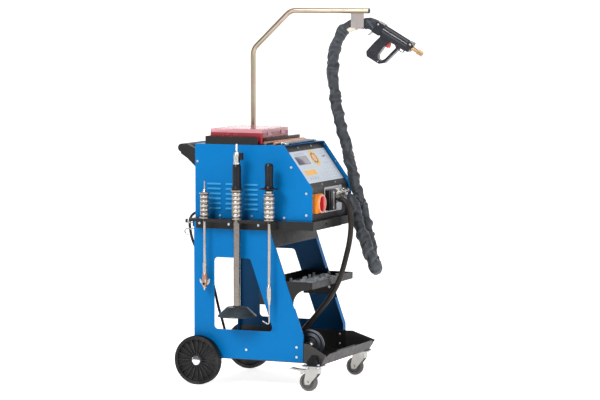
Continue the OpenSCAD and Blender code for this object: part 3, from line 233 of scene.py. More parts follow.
# ---- node materials ---------------------------------------------------------------------------------
class Nodes:
    """A material's node tree, built a node at a time."""

    def __init__(self, name):
        self.material = bpy.data.materials.new(name)
        self.material.use_nodes = True
        self.tree = self.material.node_tree
        self.shader = self.tree.nodes["Principled BSDF"]
        self.coords = self.add("ShaderNodeTexCoord").outputs["Object"]

    def add(self, kind, inputs=None, **settings):
        node = self.tree.nodes.new(kind)
        for key, value in settings.items():
            setattr(node, key, value)
        for key, value in (inputs or {}).items():
            if isinstance(value, bpy.types.NodeSocket):
                self.tree.links.new(value, node.inputs[key])
            else:
                node.inputs[key].default_value = value
        return node

    def set(self, **values):
        for key, value in values.items():
            socket = self.shader.inputs[key.replace("_", " ")]
            if isinstance(value, bpy.types.NodeSocket):
                self.tree.links.new(value, socket)
            else:
                socket.default_value = value

    def stretched(self, scale):
        return self.add("ShaderNodeMapping", {"Vector": self.coords, "Scale": scale}).outputs["Vector"]

    def noise(self, scale, detail=3, rough=0.55, stretch=(1, 1, 1)):
        return self.add("ShaderNodeTexNoise", {"Vector": self.stretched(stretch), "Scale": scale,
                                               "Detail": detail, "Roughness": rough}).outputs["Fac"]

    def ranged(self, value, low, high, from_low=0.3, from_high=0.7):
        return self.add("ShaderNodeMapRange", {"Value": value, "From Min": from_low, "From Max": from_high,
                                               "To Min": low, "To Max": high}).outputs["Result"]

    def mix(self, fac, a, b, blend="MIX"):
        node = self.add("ShaderNodeMix", data_type="RGBA", blend_type=blend)
        for index, value in ((0, fac), (6, a), (7, b)):
            if isinstance(value, bpy.types.NodeSocket):
                self.tree.links.new(value, node.inputs[index])
            else:
                node.inputs[index].default_value = value if index == 0 else (*value[:3], 1)
        return node.outputs[2]

    def bump(self, height, strength, distance, normal=None):
        inputs = {"Height": height, "Strength": strength, "Distance": distance}
        if normal is not None:
            inputs["Normal"] = normal
        return self.add("ShaderNodeBump", inputs).outputs["Normal"]

    def edges(self, width):
        """1 on sharp edges, fading to 0 away from them."""
        round_normal = self.add("ShaderNodeBevel", {"Radius": width}, samples=6).outputs["Normal"]
        flat = self.add("ShaderNodeNewGeometry").outputs["Normal"]
        dot = self.add("ShaderNodeVectorMath", {0: round_normal, 1: flat}, operation="DOT_PRODUCT")
        return self.ranged(dot.outputs["Value"], 1, 0, 0.86, 0.995)


def scaled(colour, k):
    return tuple(min(1, c * k) for c in colour)


def painted(name, colour, rough=0.4, grain=0.12, grain_scale=1400, worn=(0.5, 0.5, 0.5), wear=0.35,
            shine=0.5, vary=0.12):
    """Powder coat: fine orange peel, faint cloudiness and lighter rubbed edges."""
    n = Nodes(name)
    base = n.mix(n.ranged(n.noise(9), 0, 1), scaled(colour, 1 - vary), scaled(colour, 1 + vary))
    if wear:
        patch = n.ranged(n.noise(140, 4), 0, wear, 0.45, 0.7)
        mask = n.add("ShaderNodeMath", {0: n.edges(0.0014), 1: patch}, operation="MULTIPLY").outputs[0]
        base = n.mix(mask, base, worn)
    n.set(Base_Color=base, Roughness=n.ranged(n.noise(35), rough - 0.06, rough + 0.08),
          Specular_IOR_Level=shine, Normal=n.bump(n.noise(grain_scale, 2), grain, 0.0004))
    return n.material


def metal(name, colour, rough=0.25, stretch=(1, 1, 1), scratch=0.15, tint=None, vary=0.07, dull=0.4):
    """Bare or plated metal with machining lines, stains and, on passivated zinc, rainbow patches."""
    n = Nodes(name)
    base = n.mix(n.ranged(n.noise(16, 2), 0, 1), scaled(colour, 1 - vary), scaled(colour, 1 + vary))
    if tint:
        for shade, scale in tint:
            patch = n.ranged(n.noise(scale, 1, 0.4), 0, 0.5, 0.47, 0.68)
            base = n.mix(patch, base, shade)
    lines = n.noise(40, 1, 0.5, stretch)
    n.set(Base_Color=base, Metallic=1.0, Roughness=n.ranged(lines, rough - 0.02, rough + dull * 0.1),
          Normal=n.bump(lines, scratch, 0.000006))
    return n.material


def plastic(name, colour, rough=0.45, grain=0.15, grain_scale=900, vary=0.08, alpha=1.0, glow=0.0, coat=0.0,
            shine=0.5):
    n = Nodes(name)
    base = n.mix(n.ranged(n.noise(25), 0, 1), scaled(colour, 1 - vary), scaled(colour, 1 + vary))
    n.set(Base_Color=base, Roughness=n.ranged(n.noise(50), rough - 0.06, rough + 0.06), Coat_Weight=coat,
          Specular_IOR_Level=shine, Normal=n.bump(n.noise(grain_scale, 2), grain, 0.0003))
    if alpha < 1:
        n.set(Alpha=alpha)
    if glow:
        n.set(Emission_Color=(*colour, 1), Emission_Strength=glow)
    return n.material


def rubber(name, colour, rough=0.6, dust=(0.30, 0.29, 0.27)):
    n = Nodes(name)
    base = n.mix(n.ranged(n.noise(14, 4), 0, 0.3, 0.45, 0.75), colour, dust)
    n.set(Base_Color=base, Roughness=n.ranged(n.noise(60), rough - 0.08, rough + 0.1),
          Specular_IOR_Level=0.24, Normal=n.bump(n.noise(500, 3), 0.2, 0.0003))
    return n.material


def textile(name, colour):
    """Coated woven sleeve: fine crossed threads, cloudy fading and a soft sheen."""
    n = Nodes(name)
    base = n.mix(n.ranged(n.noise(22, 5), 0, 1), scaled(colour, 0.6), scaled(colour, 1.4))
    worn = n.ranged(n.noise(120, 4), 0, 0.45, 0.5, 0.8)
    base = n.mix(worn, base, scaled(colour, 2.6))
    # folds: painted shade in the creases and painted highlight along the ridges, from pointiness
    ridge = n.add("ShaderNodeNewGeometry").outputs["Pointiness"]
    base = n.mix(n.ranged(ridge, 0, 0.85, 0.505, 0.56), base, scaled(colour, 4.2))
    base = n.mix(n.ranged(ridge, 0.9, 0, 0.44, 0.495), base, scaled(colour, 0.25))
    threads = [n.add("ShaderNodeTexWave", {"Vector": n.coords, "Scale": 420, "Distortion": 1.5,
                                           "Detail": 1}, bands_direction=axis).outputs["Fac"]
               for axis in ("X", "Z")]
    weave = n.add("ShaderNodeMath", {0: threads[0], 1: threads[1]}, operation="MULTIPLY").outputs[0]
    creases = n.bump(n.noise(48, 4, 0.55), 0.8, 0.004)
    n.set(Base_Color=base, Roughness=0.5, Sheen_Weight=0.1, Sheen_Roughness=0.4,
          Specular_IOR_Level=0.55, Normal=n.bump(weave, 0.25, 0.0004, creases))
    return n.material


MAT = {
    "blue": painted("blue_paint", (0.0, 0.152, 0.425), rough=0.38, grain=0.05, worn=(0.05, 0.35, 0.70),
                    wear=0.3, shine=0.1, vary=0.03),
    # painted shade: a darker blue for the side panels' inner faces, which stand in shadow
    "shaded_blue": painted("inner_face_painted_shade", (0.0, 0.052, 0.145), rough=0.42, grain=0.05, wear=0.2,
                          shine=0.16, vary=0.03),
    # painted shade: a dark steel for the gaps between the weight rings
    "gap_shade": metal("ring_gap_painted_shade", (0.17, 0.15, 0.14), rough=0.4, scratch=0.05),
    # painted highlight: a lighter blue for the louvre hoods' upper faces
    "louvre_highlight": painted("louvre_painted_highlight", (0.03, 0.30, 0.62), rough=0.38, grain=0.05, wear=0, shine=0.3,
                         vary=0.03),
    "charcoal": painted("charcoal_paint", (0.026, 0.023, 0.023), rough=0.5, grain=0.2, wear=0.4),
    "black": painted("black_paint", (0.008, 0.008, 0.009), rough=0.4, grain=0.12, wear=0.4, shine=0.35),
    "zinc": metal("zinc_plate", (0.47, 0.455, 0.43), rough=0.3, stretch=(1, 1, 4), scratch=0.06),
    "yellow_zinc": metal("yellow_zinc_plate", (0.46, 0.37, 0.29), rough=0.3, stretch=(1, 1, 3), scratch=0.05,
                         tint=[((0.50, 0.36, 0.34), 7), ((0.40, 0.42, 0.31), 10), ((0.50, 0.42, 0.28), 5)]),
    "hanger": metal("hanger_plate", (0.50, 0.43, 0.42), rough=0.34, stretch=(1, 1, 3), scratch=0.05,
                    tint=[((0.56, 0.42, 0.44), 30), ((0.42, 0.47, 0.46), 41)]),
    "cream": plastic("cream_lip", (0.70, 0.68, 0.56), rough=0.45, vary=0.05),
    "chrome": metal("chrome_cap", (0.80, 0.80, 0.82), rough=0.12, scratch=0.03, dull=0.2),
    "turned": metal("turned_nickel", (0.46, 0.41, 0.37), rough=0.22, scratch=0.02),
    # painted highlight: a lighter steel than the turned nickel, for the weight rings and the claw thread
    "rib": metal("rib_steel_painted_highlight", (0.56, 0.51, 0.46), rough=0.4, scratch=0.0),
    "screw": metal("bright_screw", (0.60, 0.66, 0.72), rough=0.34, scratch=0.02),
    "tool_steel": plastic("satin_tool_steel", (0.34, 0.37, 0.40), rough=0.4, grain=0.03, vary=0.12),
    "cup": rubber("cup_rubber", (0.024, 0.032, 0.037), rough=0.36, dust=(0.10, 0.12, 0.13)),
    "tube": metal("tube_steel", (0.25, 0.22, 0.195), rough=0.26, scratch=0.02),
    "tinned": metal("tinned_copper", (0.66, 0.65, 0.62), rough=0.25, scratch=0.06),
    "copper": metal("bare_copper", (0.50, 0.25, 0.16), rough=0.36, stretch=(3, 1, 1), scratch=0.06, vary=0.3),
    "core": metal("core_laminations", (0.10, 0.095, 0.09), rough=0.5, stretch=(1, 120, 1), scratch=0.6),
    "label": plastic("label_film", (0.56, 0.62, 0.70), rough=0.35, grain=0.03, vary=0.02),
    "orange": plastic("orange_plastic", (0.88, 0.29, 0.03), rough=0.38),
    "red": plastic("red_plastic", (0.55, 0.018, 0.022), rough=0.3, coat=0.3),
    "tub_red": plastic("tub_plastic", (0.30, 0.012, 0.022), rough=0.25, coat=0.3),
    "trigger": plastic("trigger_plastic", (0.52, 0.06, 0.06), rough=0.3, coat=0.3),
    "black_plastic": plastic("black_plastic", (0.008, 0.008, 0.010), rough=0.36, grain=0.08, shine=0.3),
    "board": plastic("board_lacquer", (0.02, 0.14, 0.06), rough=0.3),
    "brass": metal("brass", (0.52, 0.36, 0.20), rough=0.3, stretch=(4, 1, 1), scratch=0.03),
    "wheel": rubber("black_wheel_rubber", (0.008, 0.008, 0.009), rough=0.5, dust=(0.09, 0.09, 0.09)),
    # painted highlight: the rear wheels' radial ribs in a lighter plastic than the black wheel
    "rib_highlight": plastic("rib_highlight_plastic", (0.035, 0.035, 0.036), rough=0.32, grain=0.05),
    "grey_wheel": rubber("grey_caster_rubber", (0.12, 0.11, 0.105), rough=0.55),
    "cable": rubber("cable_rubber", (0.022, 0.017, 0.015), rough=0.42, dust=(0.06, 0.05, 0.045)),
    "lead": rubber("lead_rubber", (0.014, 0.013, 0.013), rough=0.42, dust=(0.05, 0.05, 0.05)),
    "sleeve": textile("slate_textile", (0.016, 0.020, 0.026)),
    "boot": rubber("gun_boot_rubber", (0.016, 0.020, 0.027), rough=0.45, dust=(0.06, 0.07, 0.08)),
    "gun": plastic("gun_plastic", (0.010, 0.011, 0.018), rough=0.26, grain=0.04, coat=0.25),
    "disc_steel": metal("disc_steel", (0.13, 0.14, 0.16), rough=0.4, stretch=(1, 1, 1), scratch=0.1),
    "display": plastic("display_window", (0.16, 0.14, 0.19), rough=0.12, grain=0.02, vary=0.04, coat=0.6),
    "print_yellow": plastic("print_yellow", (0.88, 0.56, 0.13), rough=0.35, grain=0.03, vary=0.04),
    "print_orange": plastic("print_orange", (0.86, 0.42, 0.08), rough=0.35, grain=0.03, vary=0.04),
    "print_brown": plastic("print_brown", (0.20, 0.12, 0.09), rough=0.35, grain=0.03, vary=0.06),
    "print_pink": plastic("print_pink", (0.78, 0.36, 0.28), rough=0.35, grain=0.03, vary=0.04),
    "print_grey": plastic("print_grey", (0.33, 0.37, 0.44), rough=0.35, grain=0.03, vary=0.04),
    "print_white": plastic("print_white", (0.76, 0.81, 0.86), rough=0.35, grain=0.03, vary=0.02),
    "terminal_plate": plastic("terminal_plate_film", (0.60, 0.62, 0.70), rough=0.3, grain=0.03, vary=0.04),
    "mauve": plastic("mauve_insulator", (0.20, 0.16, 0.17), rough=0.4),
    # painted shade for recesses: louvre undersides, louvre slots and the claw chuck's cross hole
    "hole": plastic("painted_recess_shade", (0.004, 0.004, 0.005), rough=0.8),
    "steel_wire": metal("wire_steel", (0.46, 0.46, 0.48), rough=0.3, stretch=(1, 1, 4), scratch=0.05),
    "dark_bar": metal("blued_bar", (0.035, 0.06, 0.10), rough=0.22, stretch=(1, 4, 1), vary=0.3,
                      scratch=0.05),
    "brown_bar": metal("browned_bar", (0.055, 0.032, 0.030), rough=0.35, stretch=(1, 4, 1), scratch=0.05),
    "core_plastic": plastic("wheel_core_plastic", (0.08, 0.08, 0.08), rough=0.45),
}


def clear_lid():
    n = Nodes("clear_red_lid")
    n.set(Base_Color=(0.86, 0.40, 0.46, 1), Roughness=0.12, Alpha=0.5, Coat_Weight=0.6, IOR=1.4,
          Normal=n.bump(n.noise(30, 2), 0.05, 0.001))
    return n.material


MAT["clear_red"] = clear_lid()

NODE_MATERIALS = {
    "blue": ["side_panel_near", "side_panel_far", "cabinet_cover"],
    "charcoal": ["cross_brace", "lower_tray", "cabinet_base", "front_panel"],
    "black": ["upper_tray", "tool_rail", "middle_shelf", "caster_brackets", "top_tray", "push_handle"],
    "screw": ["screws"],
    "zinc": ["axle", "caster_plates", "caster_near_fork", "caster_far_fork", "caster_near_brake"],
    "yellow_zinc": ["mast"],
    "hanger": ["cradle"],
    "chrome": ["hub_caps"],
    "turned": ["slide_weights", "claw_shaft", "hook_shaft"],
    "tube": ["vacuum_tube"],
    "tinned": ["output_clamps"],
    "copper": ["claw_head", "loose_tools", "transformer_coils"],
    "core": ["transformer_core"],
    "label": ["control_label"],
    "orange": ["isolator_base"],
    "red": ["isolator_knob", "mains_plug"],
    "tub_red": ["case_base"],
    "gun": ["gun_body"],
    "steel_wire": ["cable_hook"],
    "trigger": ["gun_trigger"],
    "clear_red": ["case_lid"],
    "black_plastic": ["terminal_block", "fan_frame", "fan_rotor", "vacuum_handle",
                      "hook_handle", "vacuum_lever", "mains_gland"],
    "board": ["power_board"],
    "brass": ["gun_nozzle"],
    "wheel": ["rear_wheel_near", "rear_wheel_far"],
    "cup": ["vacuum_cup"],
    "grey_wheel": ["caster_near_wheel", "caster_far_wheel"],
    "disc_steel": ["earth_disc"],
}
for key, names in NODE_MATERIALS.items():
    for name in names:
        data = NODES[name].data
        data.materials.clear()
        data.materials.append(MAT[key])


def recolour(name, *rules):
    """Give the faces of a CAD node further materials, by where their middles lie (millimetres)."""
    data = NODES[name].data
    for material, test in rules:
        data.materials.append(MAT[material])
        index = len(data.materials) - 1
        for face in data.polygons:
            c = (face.center - SHIFT) * 1000
            if test(c.x, c.y, c.z, face.normal):
                face.material_index = index


CLAW_X, VACUUM_X, HOOK_X, HAMMER_Y = -306, -163, -21, -262
ROOF, PANEL_X, SHELF_Z = 977, 126, 406
# painted shade on the inner faces of both side panels
recolour("side_panel_far", ("shaded_blue", lambda x, y, z, n: n.y < -0.5))
recolour("side_panel_near", ("shaded_blue", lambda x, y, z, n: n.y > 0.5))
# each weight's x, top, barrel radius, disc radius and number of discs
WEIGHTS = ((CLAW_X, 784, 14.5, 18.5, 4), (VACUUM_X, 798, 18.5, 21.5, 5), (HOOK_X, 787, 20, 23.5, 4))
RAIL_TOP = 680
# painted shade on each weight's barrel in the gaps between its rings
recolour("slide_weights", ("gap_shade", lambda x, y, z, n: any(
    RAIL_TOP + 8 < z < top - 8 and math.hypot(x - cx, y - HAMMER_Y) < disc_r - 1
    for cx, top, r, disc_r, count in WEIGHTS)))
recolour("cabinet_cover",
         # painted shadow under the louvre hoods and inside their slots
         ("hole", lambda x, y, z, n: 700 < z < 830 and (abs(y) > 205.1 and n.z < -0.5
                                                        or abs(y) < 205 and abs(n.z) > 0.5)),
         # painted highlight on the louvre hoods' upper faces
         ("louvre_highlight", lambda x, y, z, n: 700 < z < 830 and abs(y) > 205.1 and n.z > 0.3))
recolour("terminal_block", ("terminal_plate", lambda x, y, z, n: x < PANEL_X + 2.5))
recolour("vacuum_handle",
         ("tinned", lambda x, y, z, n: z > 899 and math.hypot(x - VACUUM_X, y - HAMMER_Y) < 13.3
          and x < VACUUM_X + 10),
         )
recolour("hook_handle", ("turned", lambda x, y, z, n: z < 800))
recolour("claw_head", ("tinned", lambda x, y, z, n: math.hypot(x - CLAW_X, y - HAMMER_Y) > 10.3),
         ("turned", lambda x, y, z, n: z < 403 or z > 457.5),
         # painted shade inside the chuck's cross hole
         ("hole", lambda x, y, z, n: math.hypot(x - CLAW_X, z - 414) < 5.1 and abs(n.y) < 0.3))
recolour("loose_tools",
         ("brown_bar", lambda x, y, z, n: z > ROOF + 14.1),
         ("dark_bar", lambda x, y, z, n: z > ROOF - 1 and x + y * 0.035 > -26),
         ("tool_steel", lambda x, y, z, n: 400 < z < 450),
         ("cable", lambda x, y, z, n: z < 200 and x > 158),
         ("turned", lambda x, y, z, n: z < 200 and x < 158))
recolour("earth_disc", ("turned", lambda x, y, z, n: math.hypot(x - 108, z - 174) < 13 and n.y < 0.5))
recolour("mains_plug", ("black_plastic", lambda x, y, z, n: y < 51 or n.y > 0.5),
         ("brass", lambda x, y, z, n: math.hypot(x + 302, z - 137) < 16 and y > 100))
for wheel in ("caster_near_wheel", "caster_far_wheel"):
    recolour(wheel, ("core_plastic", lambda x, y, z, n: math.hypot(x - 144, z - 37.5) < 25.5))


def finish_piece(obj, material):
    obj.data.materials.clear()
    obj.data.materials.append(MAT[material] if isinstance(material, str) else material)
    return obj


# ---- leads ------------------------------------------------------------------------------------------
SLEEVE_ROUTE = [
    (151, 150, 748), (160, 150, 747), (173, 146, 734), (185, 140, 704), (201, 128, 662),
    (219, 115, 625), (240, 98, 590), (261, 84, 555), (279, 82, 515), (285, 102, 480),
    (277, 140, 462), (257, 184, 468), (234, 220, 498), (216, 236, 545), (206, 234, 600),
    (197, 224, 660), (186, 212, 710), (175, 200, 755), (164, 190, 808), (155, 180, 860),
    (145, 166, 925), (133, 156, 986), (115, 152, 1050), (101, 152, 1110), (88, 152, 1190),
    (82, 152, 1260), (84, 152, 1320), (97, 152, 1376), (125, 152, 1428), (153, 152, 1452),
    (180, 152, 1462), (200, 152, 1462), (220, 152, 1462), (240, 152, 1461.5), (256, 152, 1458.6),
    (271.4, 152, 1450.8),
]
EARTH_ROUTE = [
    (150, 60, 748), (172, 58, 742), (190, 55, 722), (200, 52, 690), (205, 48, 650), (204, 44, 605),
    (199, 38, 560), (190, 32, 515), (180, 26, 470), (167, 20, 425), (149, 12, 383), (122, 4, 338),
    (88, -5, 292), (52, -14, 247), (20, -22, 209), (-8, -27, 177), (-26, -29, 154), (-42, -30, 143),
]
EARTH_TAIL = [
    (60, 70, 121), (62, 44, 122), (68, 14, 126), (76, -20, 132), (86, -54, 141), (95, -86, 156),
    (103, -112, 170), (108, -138, 174),
]
MAINS_ROUTE = [
    (-403, -110, 690), (-416, -110, 688), (-428, -110, 682), (-438, -110, 673), (-445, -110, 659),
    (-447, -110, 644), (-443, -112, 615), (-434, -118, 588), (-419, -128, 562), (-398, -138, 532),
    (-374, -146, 497), (-350, -150, 462), (-330, -150, 425), (-316, -150, 380), (-306, -150, 340),
    (-296, -150, 300), (-283, -151, 262), (-272, -153, 228), (-262, -157, 198), (-250, -162, 174),
    (-234, -167, 157), (-214, -170, 149),
]
MAINS_TAIL = [
    (-230, -49.5, 115.5), (-252, -47, 116), (-272, -38, 119), (-288, -22, 125), (-298, -2, 132),
    (-302, 20, 137),
]
SLEEVE_D, EARTH_D, MAINS_D = 0.042, 0.022, 0.011


def route(points):
    return [at(*p) for p in points]


def coil(centre, start, sweep_deg, layers, steps=26):
    """Turns of a coil: layers is a list of (radius, height) for each turn, entered at angle start."""
    out = []
    count = int(abs(sweep_deg) / 360 * steps)
    for i in range(1, count):
        done = i / count * abs(sweep_deg) / 360
        k = int(done)
        r, z = layers[k]
        part = done - k
        if k and part < 0.22:
            r0, z0 = layers[k - 1]
            t = part / 0.22
            t = t * t * (3 - 2 * t)
            r, z = r0 + (r - r0) * t, z0 + (z - z0) * t
        angle = math.radians(start + math.copysign(done * 360, sweep_deg))
        out.append(at(centre[0] + r * math.cos(angle), centre[1] + r * math.sin(angle), z))
    return out


def wrinkled(path, base, sides, seed):
    """Radius of a gathered textile sleeve: slanting folds, each with a crease beside it."""
    rng = np.random.default_rng(seed)
    s = np.concatenate([[0], np.cumsum(np.linalg.norm(np.diff(path, axis=0), axis=1))])
    angle = np.linspace(0, 2 * math.pi, sides, endpoint=False)
    S, A = np.meshgrid(s, angle, indexing="ij")
    total = np.zeros_like(S)
    low = path[:, 2].argmin()
    for k in range(int(s[-1] / 0.011)):
        # every fourth fold gathers round the bottom of the loop
        s0 = rng.uniform(0, s[-1]) if k % 4 else rng.normal(s[low], 0.07)
        a0 = rng.uniform(0, 2 * math.pi)
        lean = rng.normal(0.0, 0.55) + (0.55 if rng.random() < 0.6 else -0.45)
        width, length = rng.uniform(0.0055, 0.0145), rng.uniform(0.020, 0.060)
        height = rng.uniform(0.0018, 0.0052)
        da = (A - a0 + math.pi) % (2 * math.pi) - math.pi
        x, y = (S - s0), da * base
        across = x * math.cos(lean) - y * math.sin(lean)
        along = x * math.sin(lean) + y * math.cos(lean)
        fade = np.exp(-(along / length) ** 2)
        total += height * fade * (np.exp(-(across / width) ** 2)
                                  - 0.75 * np.exp(-((across - 1.35 * width) / (0.6 * width)) ** 2))
    for scale, size in ((0.11, 0.0014), (0.047, 0.0010)):
        phase = rng.uniform(0, 6.28, 3)
        total += size * np.sin(S / scale * 6.28 + phase[0]) * np.cos(A + phase[1])
        total += size * 0.7 * np.sin(S / (scale * 0.63) * 6.28 + phase[2])
    seam = (A - 2.1 - 0.9 * np.sin(S * 4) + math.pi) % (2 * math.pi) - math.pi
    total += 0.0012 * np.exp(-(seam * base / 0.0018) ** 2)
    radius = base + np.clip(total, -0.0058, 0.0062)
    start, end = s / 0.03, (s[-1] - s) / 0.02
    grow = np.clip(np.minimum(0.78 + 0.22 * start, 0.84 + 0.16 * end), 0, 1)
    return np.clip(radius * grow[:, None], 0.0156, 0.0282)


sleeve_path = spline(route(SLEEVE_ROUTE), 0.003)
sleeve = sweep("textile_sleeve", sleeve_path, wrinkled(sleeve_path, 0.0218, 72, 11), 72)
finish_piece(sleeve, "sleeve")
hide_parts("sleeve")

earth_path = spline(route(EARTH_ROUTE) + coil((-40, 70), -90, -630, [(100, 143), (100, 121)])
                    + route(EARTH_TAIL), 0.006)
earth = sweep("earth_cable", earth_path, EARTH_D / 2, 20)
finish_piece(earth, "cable")
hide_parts("ground_cable", "ground_coil")

mains_path = spline(
    route(MAINS_ROUTE)
    + coil((-230, -110), -75, 360 * 5 + 165,
           [(54.5, 137.5), (65.5, 137.5), (65.5, 126.5), (54.5, 126.5), (54.5, 115.5), (65.5, 115.5)])
    + route(MAINS_TAIL), 0.004)
mains = sweep("mains_lead", mains_path, MAINS_D / 2, 14)
finish_piece(mains, "lead")
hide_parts("mains_cable", "mains_coil")

# ---- printed label on the leaning front ----------------------------------------------------------------
SLOPE = math.atan2(142 - 20, ROOF - 810)
PANEL_Z = 810 - 16 * math.tan(SLOPE) / 4
LABEL_T = 0.6


def on_slope(y, up, out):
    """A point of the leaning front: y across, up the slope, out of the panel."""
    return at(PANEL_X - up * math.sin(SLOPE) + out * math.cos(SLOPE), y,
              PANEL_Z + up * math.cos(SLOPE) + out * math.sin(SLOPE))


def label_print():
    shape = Shape()
    inks = ["print_yellow", "print_orange", "print_brown", "print_pink", "print_grey", "print_white",
            "display", "red"]
    yellow, orange, brown, pink, grey, white, display, red = range(len(inks))

    def ink(outline, kind, low=LABEL_T, thick=0.25):
        shape.plate(outline, on_slope, low - 0.1, low + thick, 0.08, kind)

    # a white border, the display with its frame, and a rule over it
    for y, up, w, h in ((9.5, 172, 357, 1.4), (9.5, 25, 357, 1.4),
                        (-168, 98.5, 1.4, 146), (187, 98.5, 1.4, 146)):
        ink(rounded_box(y, up, w, h, 0.6), white)
    ink(rounded_box(-87, 129.5, 124, 42, 3), grey)
    ink(rounded_box(-87, 129.5, 118, 37, 2), display, LABEL_T + 0.25, 0.4)
    for up, w in ((162, 92), (157, 110)):
        ink(rounded_box(-87, up, w, 1.6, 0.7), grey)
    # two columns of the panel parted by a fine line
    ink(rounded_box(-17, 98, 1.6, 140, 0.7), white)
    # power dial: ring, cog and core
    ink(disc(37, 134, 38), yellow)
    ink(disc(37, 134, 26, 64, 2.6, 8), brown, LABEL_T + 0.25)
    ink(disc(37, 134, 17, 48, 1.4, 8), yellow, LABEL_T + 0.5)
    ink(disc(37, 134, 12.5), pink, LABEL_T + 0.75)
    for k in range(12):
        a = math.radians(30 * k + 15)
        ink(disc(37 + 33 * math.cos(a), 134 + 33 * math.sin(a), 1.6, 12), brown, LABEL_T + 0.25)
    # four orange soft keys on a yellow strip
    ink(rounded_box(-83, 71, 112, 24, 4), yellow)
    for k in range(4):
        ink(rounded_box(-83 + (k - 1.5) * 26, 71, 20, 15, 3), orange, LABEL_T + 0.25, 0.5)
        ink(rounded_box(-83 + (k - 1.5) * 26, 71, 7, 3, 1), white, LABEL_T + 0.75, 0.1)
    # rows of small plain symbols
    for k in range(4):
        ink(disc(-120 + 24 * k, 42, 4, 16), grey)
        ink(rounded_box(-120 + 24 * k, 50, 10, 1.6, 0.7), grey)
    ink(rounded_box(133, 136, 30, 5, 2), brown)
    ink(disc(146, 139, 4.4, 16), red, LABEL_T + 0.25)
    ink(rounded_box(133, 150, 46, 1.4, 0.6), grey)
    ink(rounded_box(122, 106, 62, 1.6, 0.7), grey)
    for row in range(4):
        for column in range(3):
            y, up = 74 + column * 38, 84 - row * 15
            ink(rounded_box(y, up, 20, 9, 2), grey)
            ink(rounded_box(y, up, 17.6, 6.6, 1.4), white, LABEL_T + 0.25, 0.1)
            ink(disc(y, up, 1.8, 12), grey, LABEL_T + 0.35, 0.1)
    shape.build("label_print", inks)


label_print()


# ---- front connections -----------------------------------------------------------------------------------
def facing_front(y, z, out):
    return at(PANEL_X + out, y, z)


def terminal_details():
    shape = Shape()
    shape.plate(rounded_box(3, 750, 17, 74, 2), facing_front, 19, 22.4, 0.8, 0)
    for z in (720, 780):
        shape.dome(lambda u, v, h, z=z: facing_front(3 + u, z + v, 22.4 + h), 4, 1.6, 16, 1)
    for y, z in ((-33, 790 + 6), (-33, 706), (124, 706), (124, 796)):
        shape.dome(lambda u, v, h, y=y, z=z: facing_front(y + u, z + v, 2 + h), 3.4, 1.8, 16, 1)
    # washers and hexagon nuts of the bus bars
    for y in (60, 96, 134, 166):
        shape.plate(disc(y, 778, 8.6, 6), facing_front, 15, 22, 0.8, 1)
    for y in (60, 150):
        shape.lathe([(12, 0), (17.5, 0), (18, 0.6), (18, 2.4), (17.5, 3), (12, 3)],
                    lambda u, v, h, y=y: facing_front(y + u, 748 + v, 7 + h), 40, 1)
    shape.build("terminal_details", ["mauve", "tinned"])


def isolator_details():
    shape = Shape()
    ring = [(31.5, 0), (36.8, 0), (36.8, 1.0), (36.2, 1.8), (32.1, 1.8), (31.5, 1.0)]
    shape.lathe(ring, lambda u, v, h: facing_front(-140 + u, 744 + v, 32.8 + h), 56, 0)
    for u, v in ((-34, -32), (34, -32), (-34, 32), (34, 32)):
        shape.dome(lambda a, b, h, u=u, v=v: facing_front(-140 + u + a, 744 + v + b, 14.2 + h),
                   2.1, 1.6, 12, 1)
    shape.build("isolator_rim", ["print_pink", "zinc"])


terminal_details()
isolator_details()


# ---- gun ---------------------------------------------------------------------------------------------------
TILT = math.radians(30)


def on_gun(a, y, b):
    """A point in the gun's own axes: a towards the nose, y across, b up."""
    return at(265 + a * math.cos(TILT) + b * math.sin(TILT), 152 + y,
              1454 - a * math.sin(TILT) + b * math.cos(TILT))


def gun_boot():
    """Rubber boot from the round sleeve to the square back of the gun."""
    start, start_dir = at(226, 152, 1462), Vector((1, 0, 0))
    end = on_gun(9.5, 0, 1.5)
    end_dir = Vector((math.cos(TILT), 0, -math.sin(TILT)))
    rings = []
    steps, count = 22, 40
    for i in range(steps + 1):
        t = i / steps
        middle = start.lerp(end, t) + Vector((0, 0, 0.0045 * math.sin(math.pi * t)))
        along = start_dir.slerp(end_dir, t)
        up = Vector((0, 1, 0)).cross(along) * -1
        square = min(1, max(0, (t - 0.35) / 0.5))
        half_w, half_h = 0.0236 + (0.0204 - 0.0236) * t, 0.0236 + (0.0252 - 0.0236) * t
        fold = 0.0007 * math.sin(t * 21) * (1 - t)
        ring = []
        for j in range(count):
            c, s = polar(1, 2 * math.pi * j / count)
            k = 1 - square + square / max(abs(c), abs(s)) ** 0.72
            crease = 0.0006 * math.sin(3 * 2 * math.pi * j / count + 9 * t) * (1 - square)
            ring.append(middle + Vector((0, 1, 0)) * c * k * (half_w + fold + crease)
                        + up * s * k * (half_h + fold + crease))
        rings.append(ring)
    shape = Shape()
    shape.loft(rings)
    shape.build("gun_boot", ["boot"], smooth=1.2)


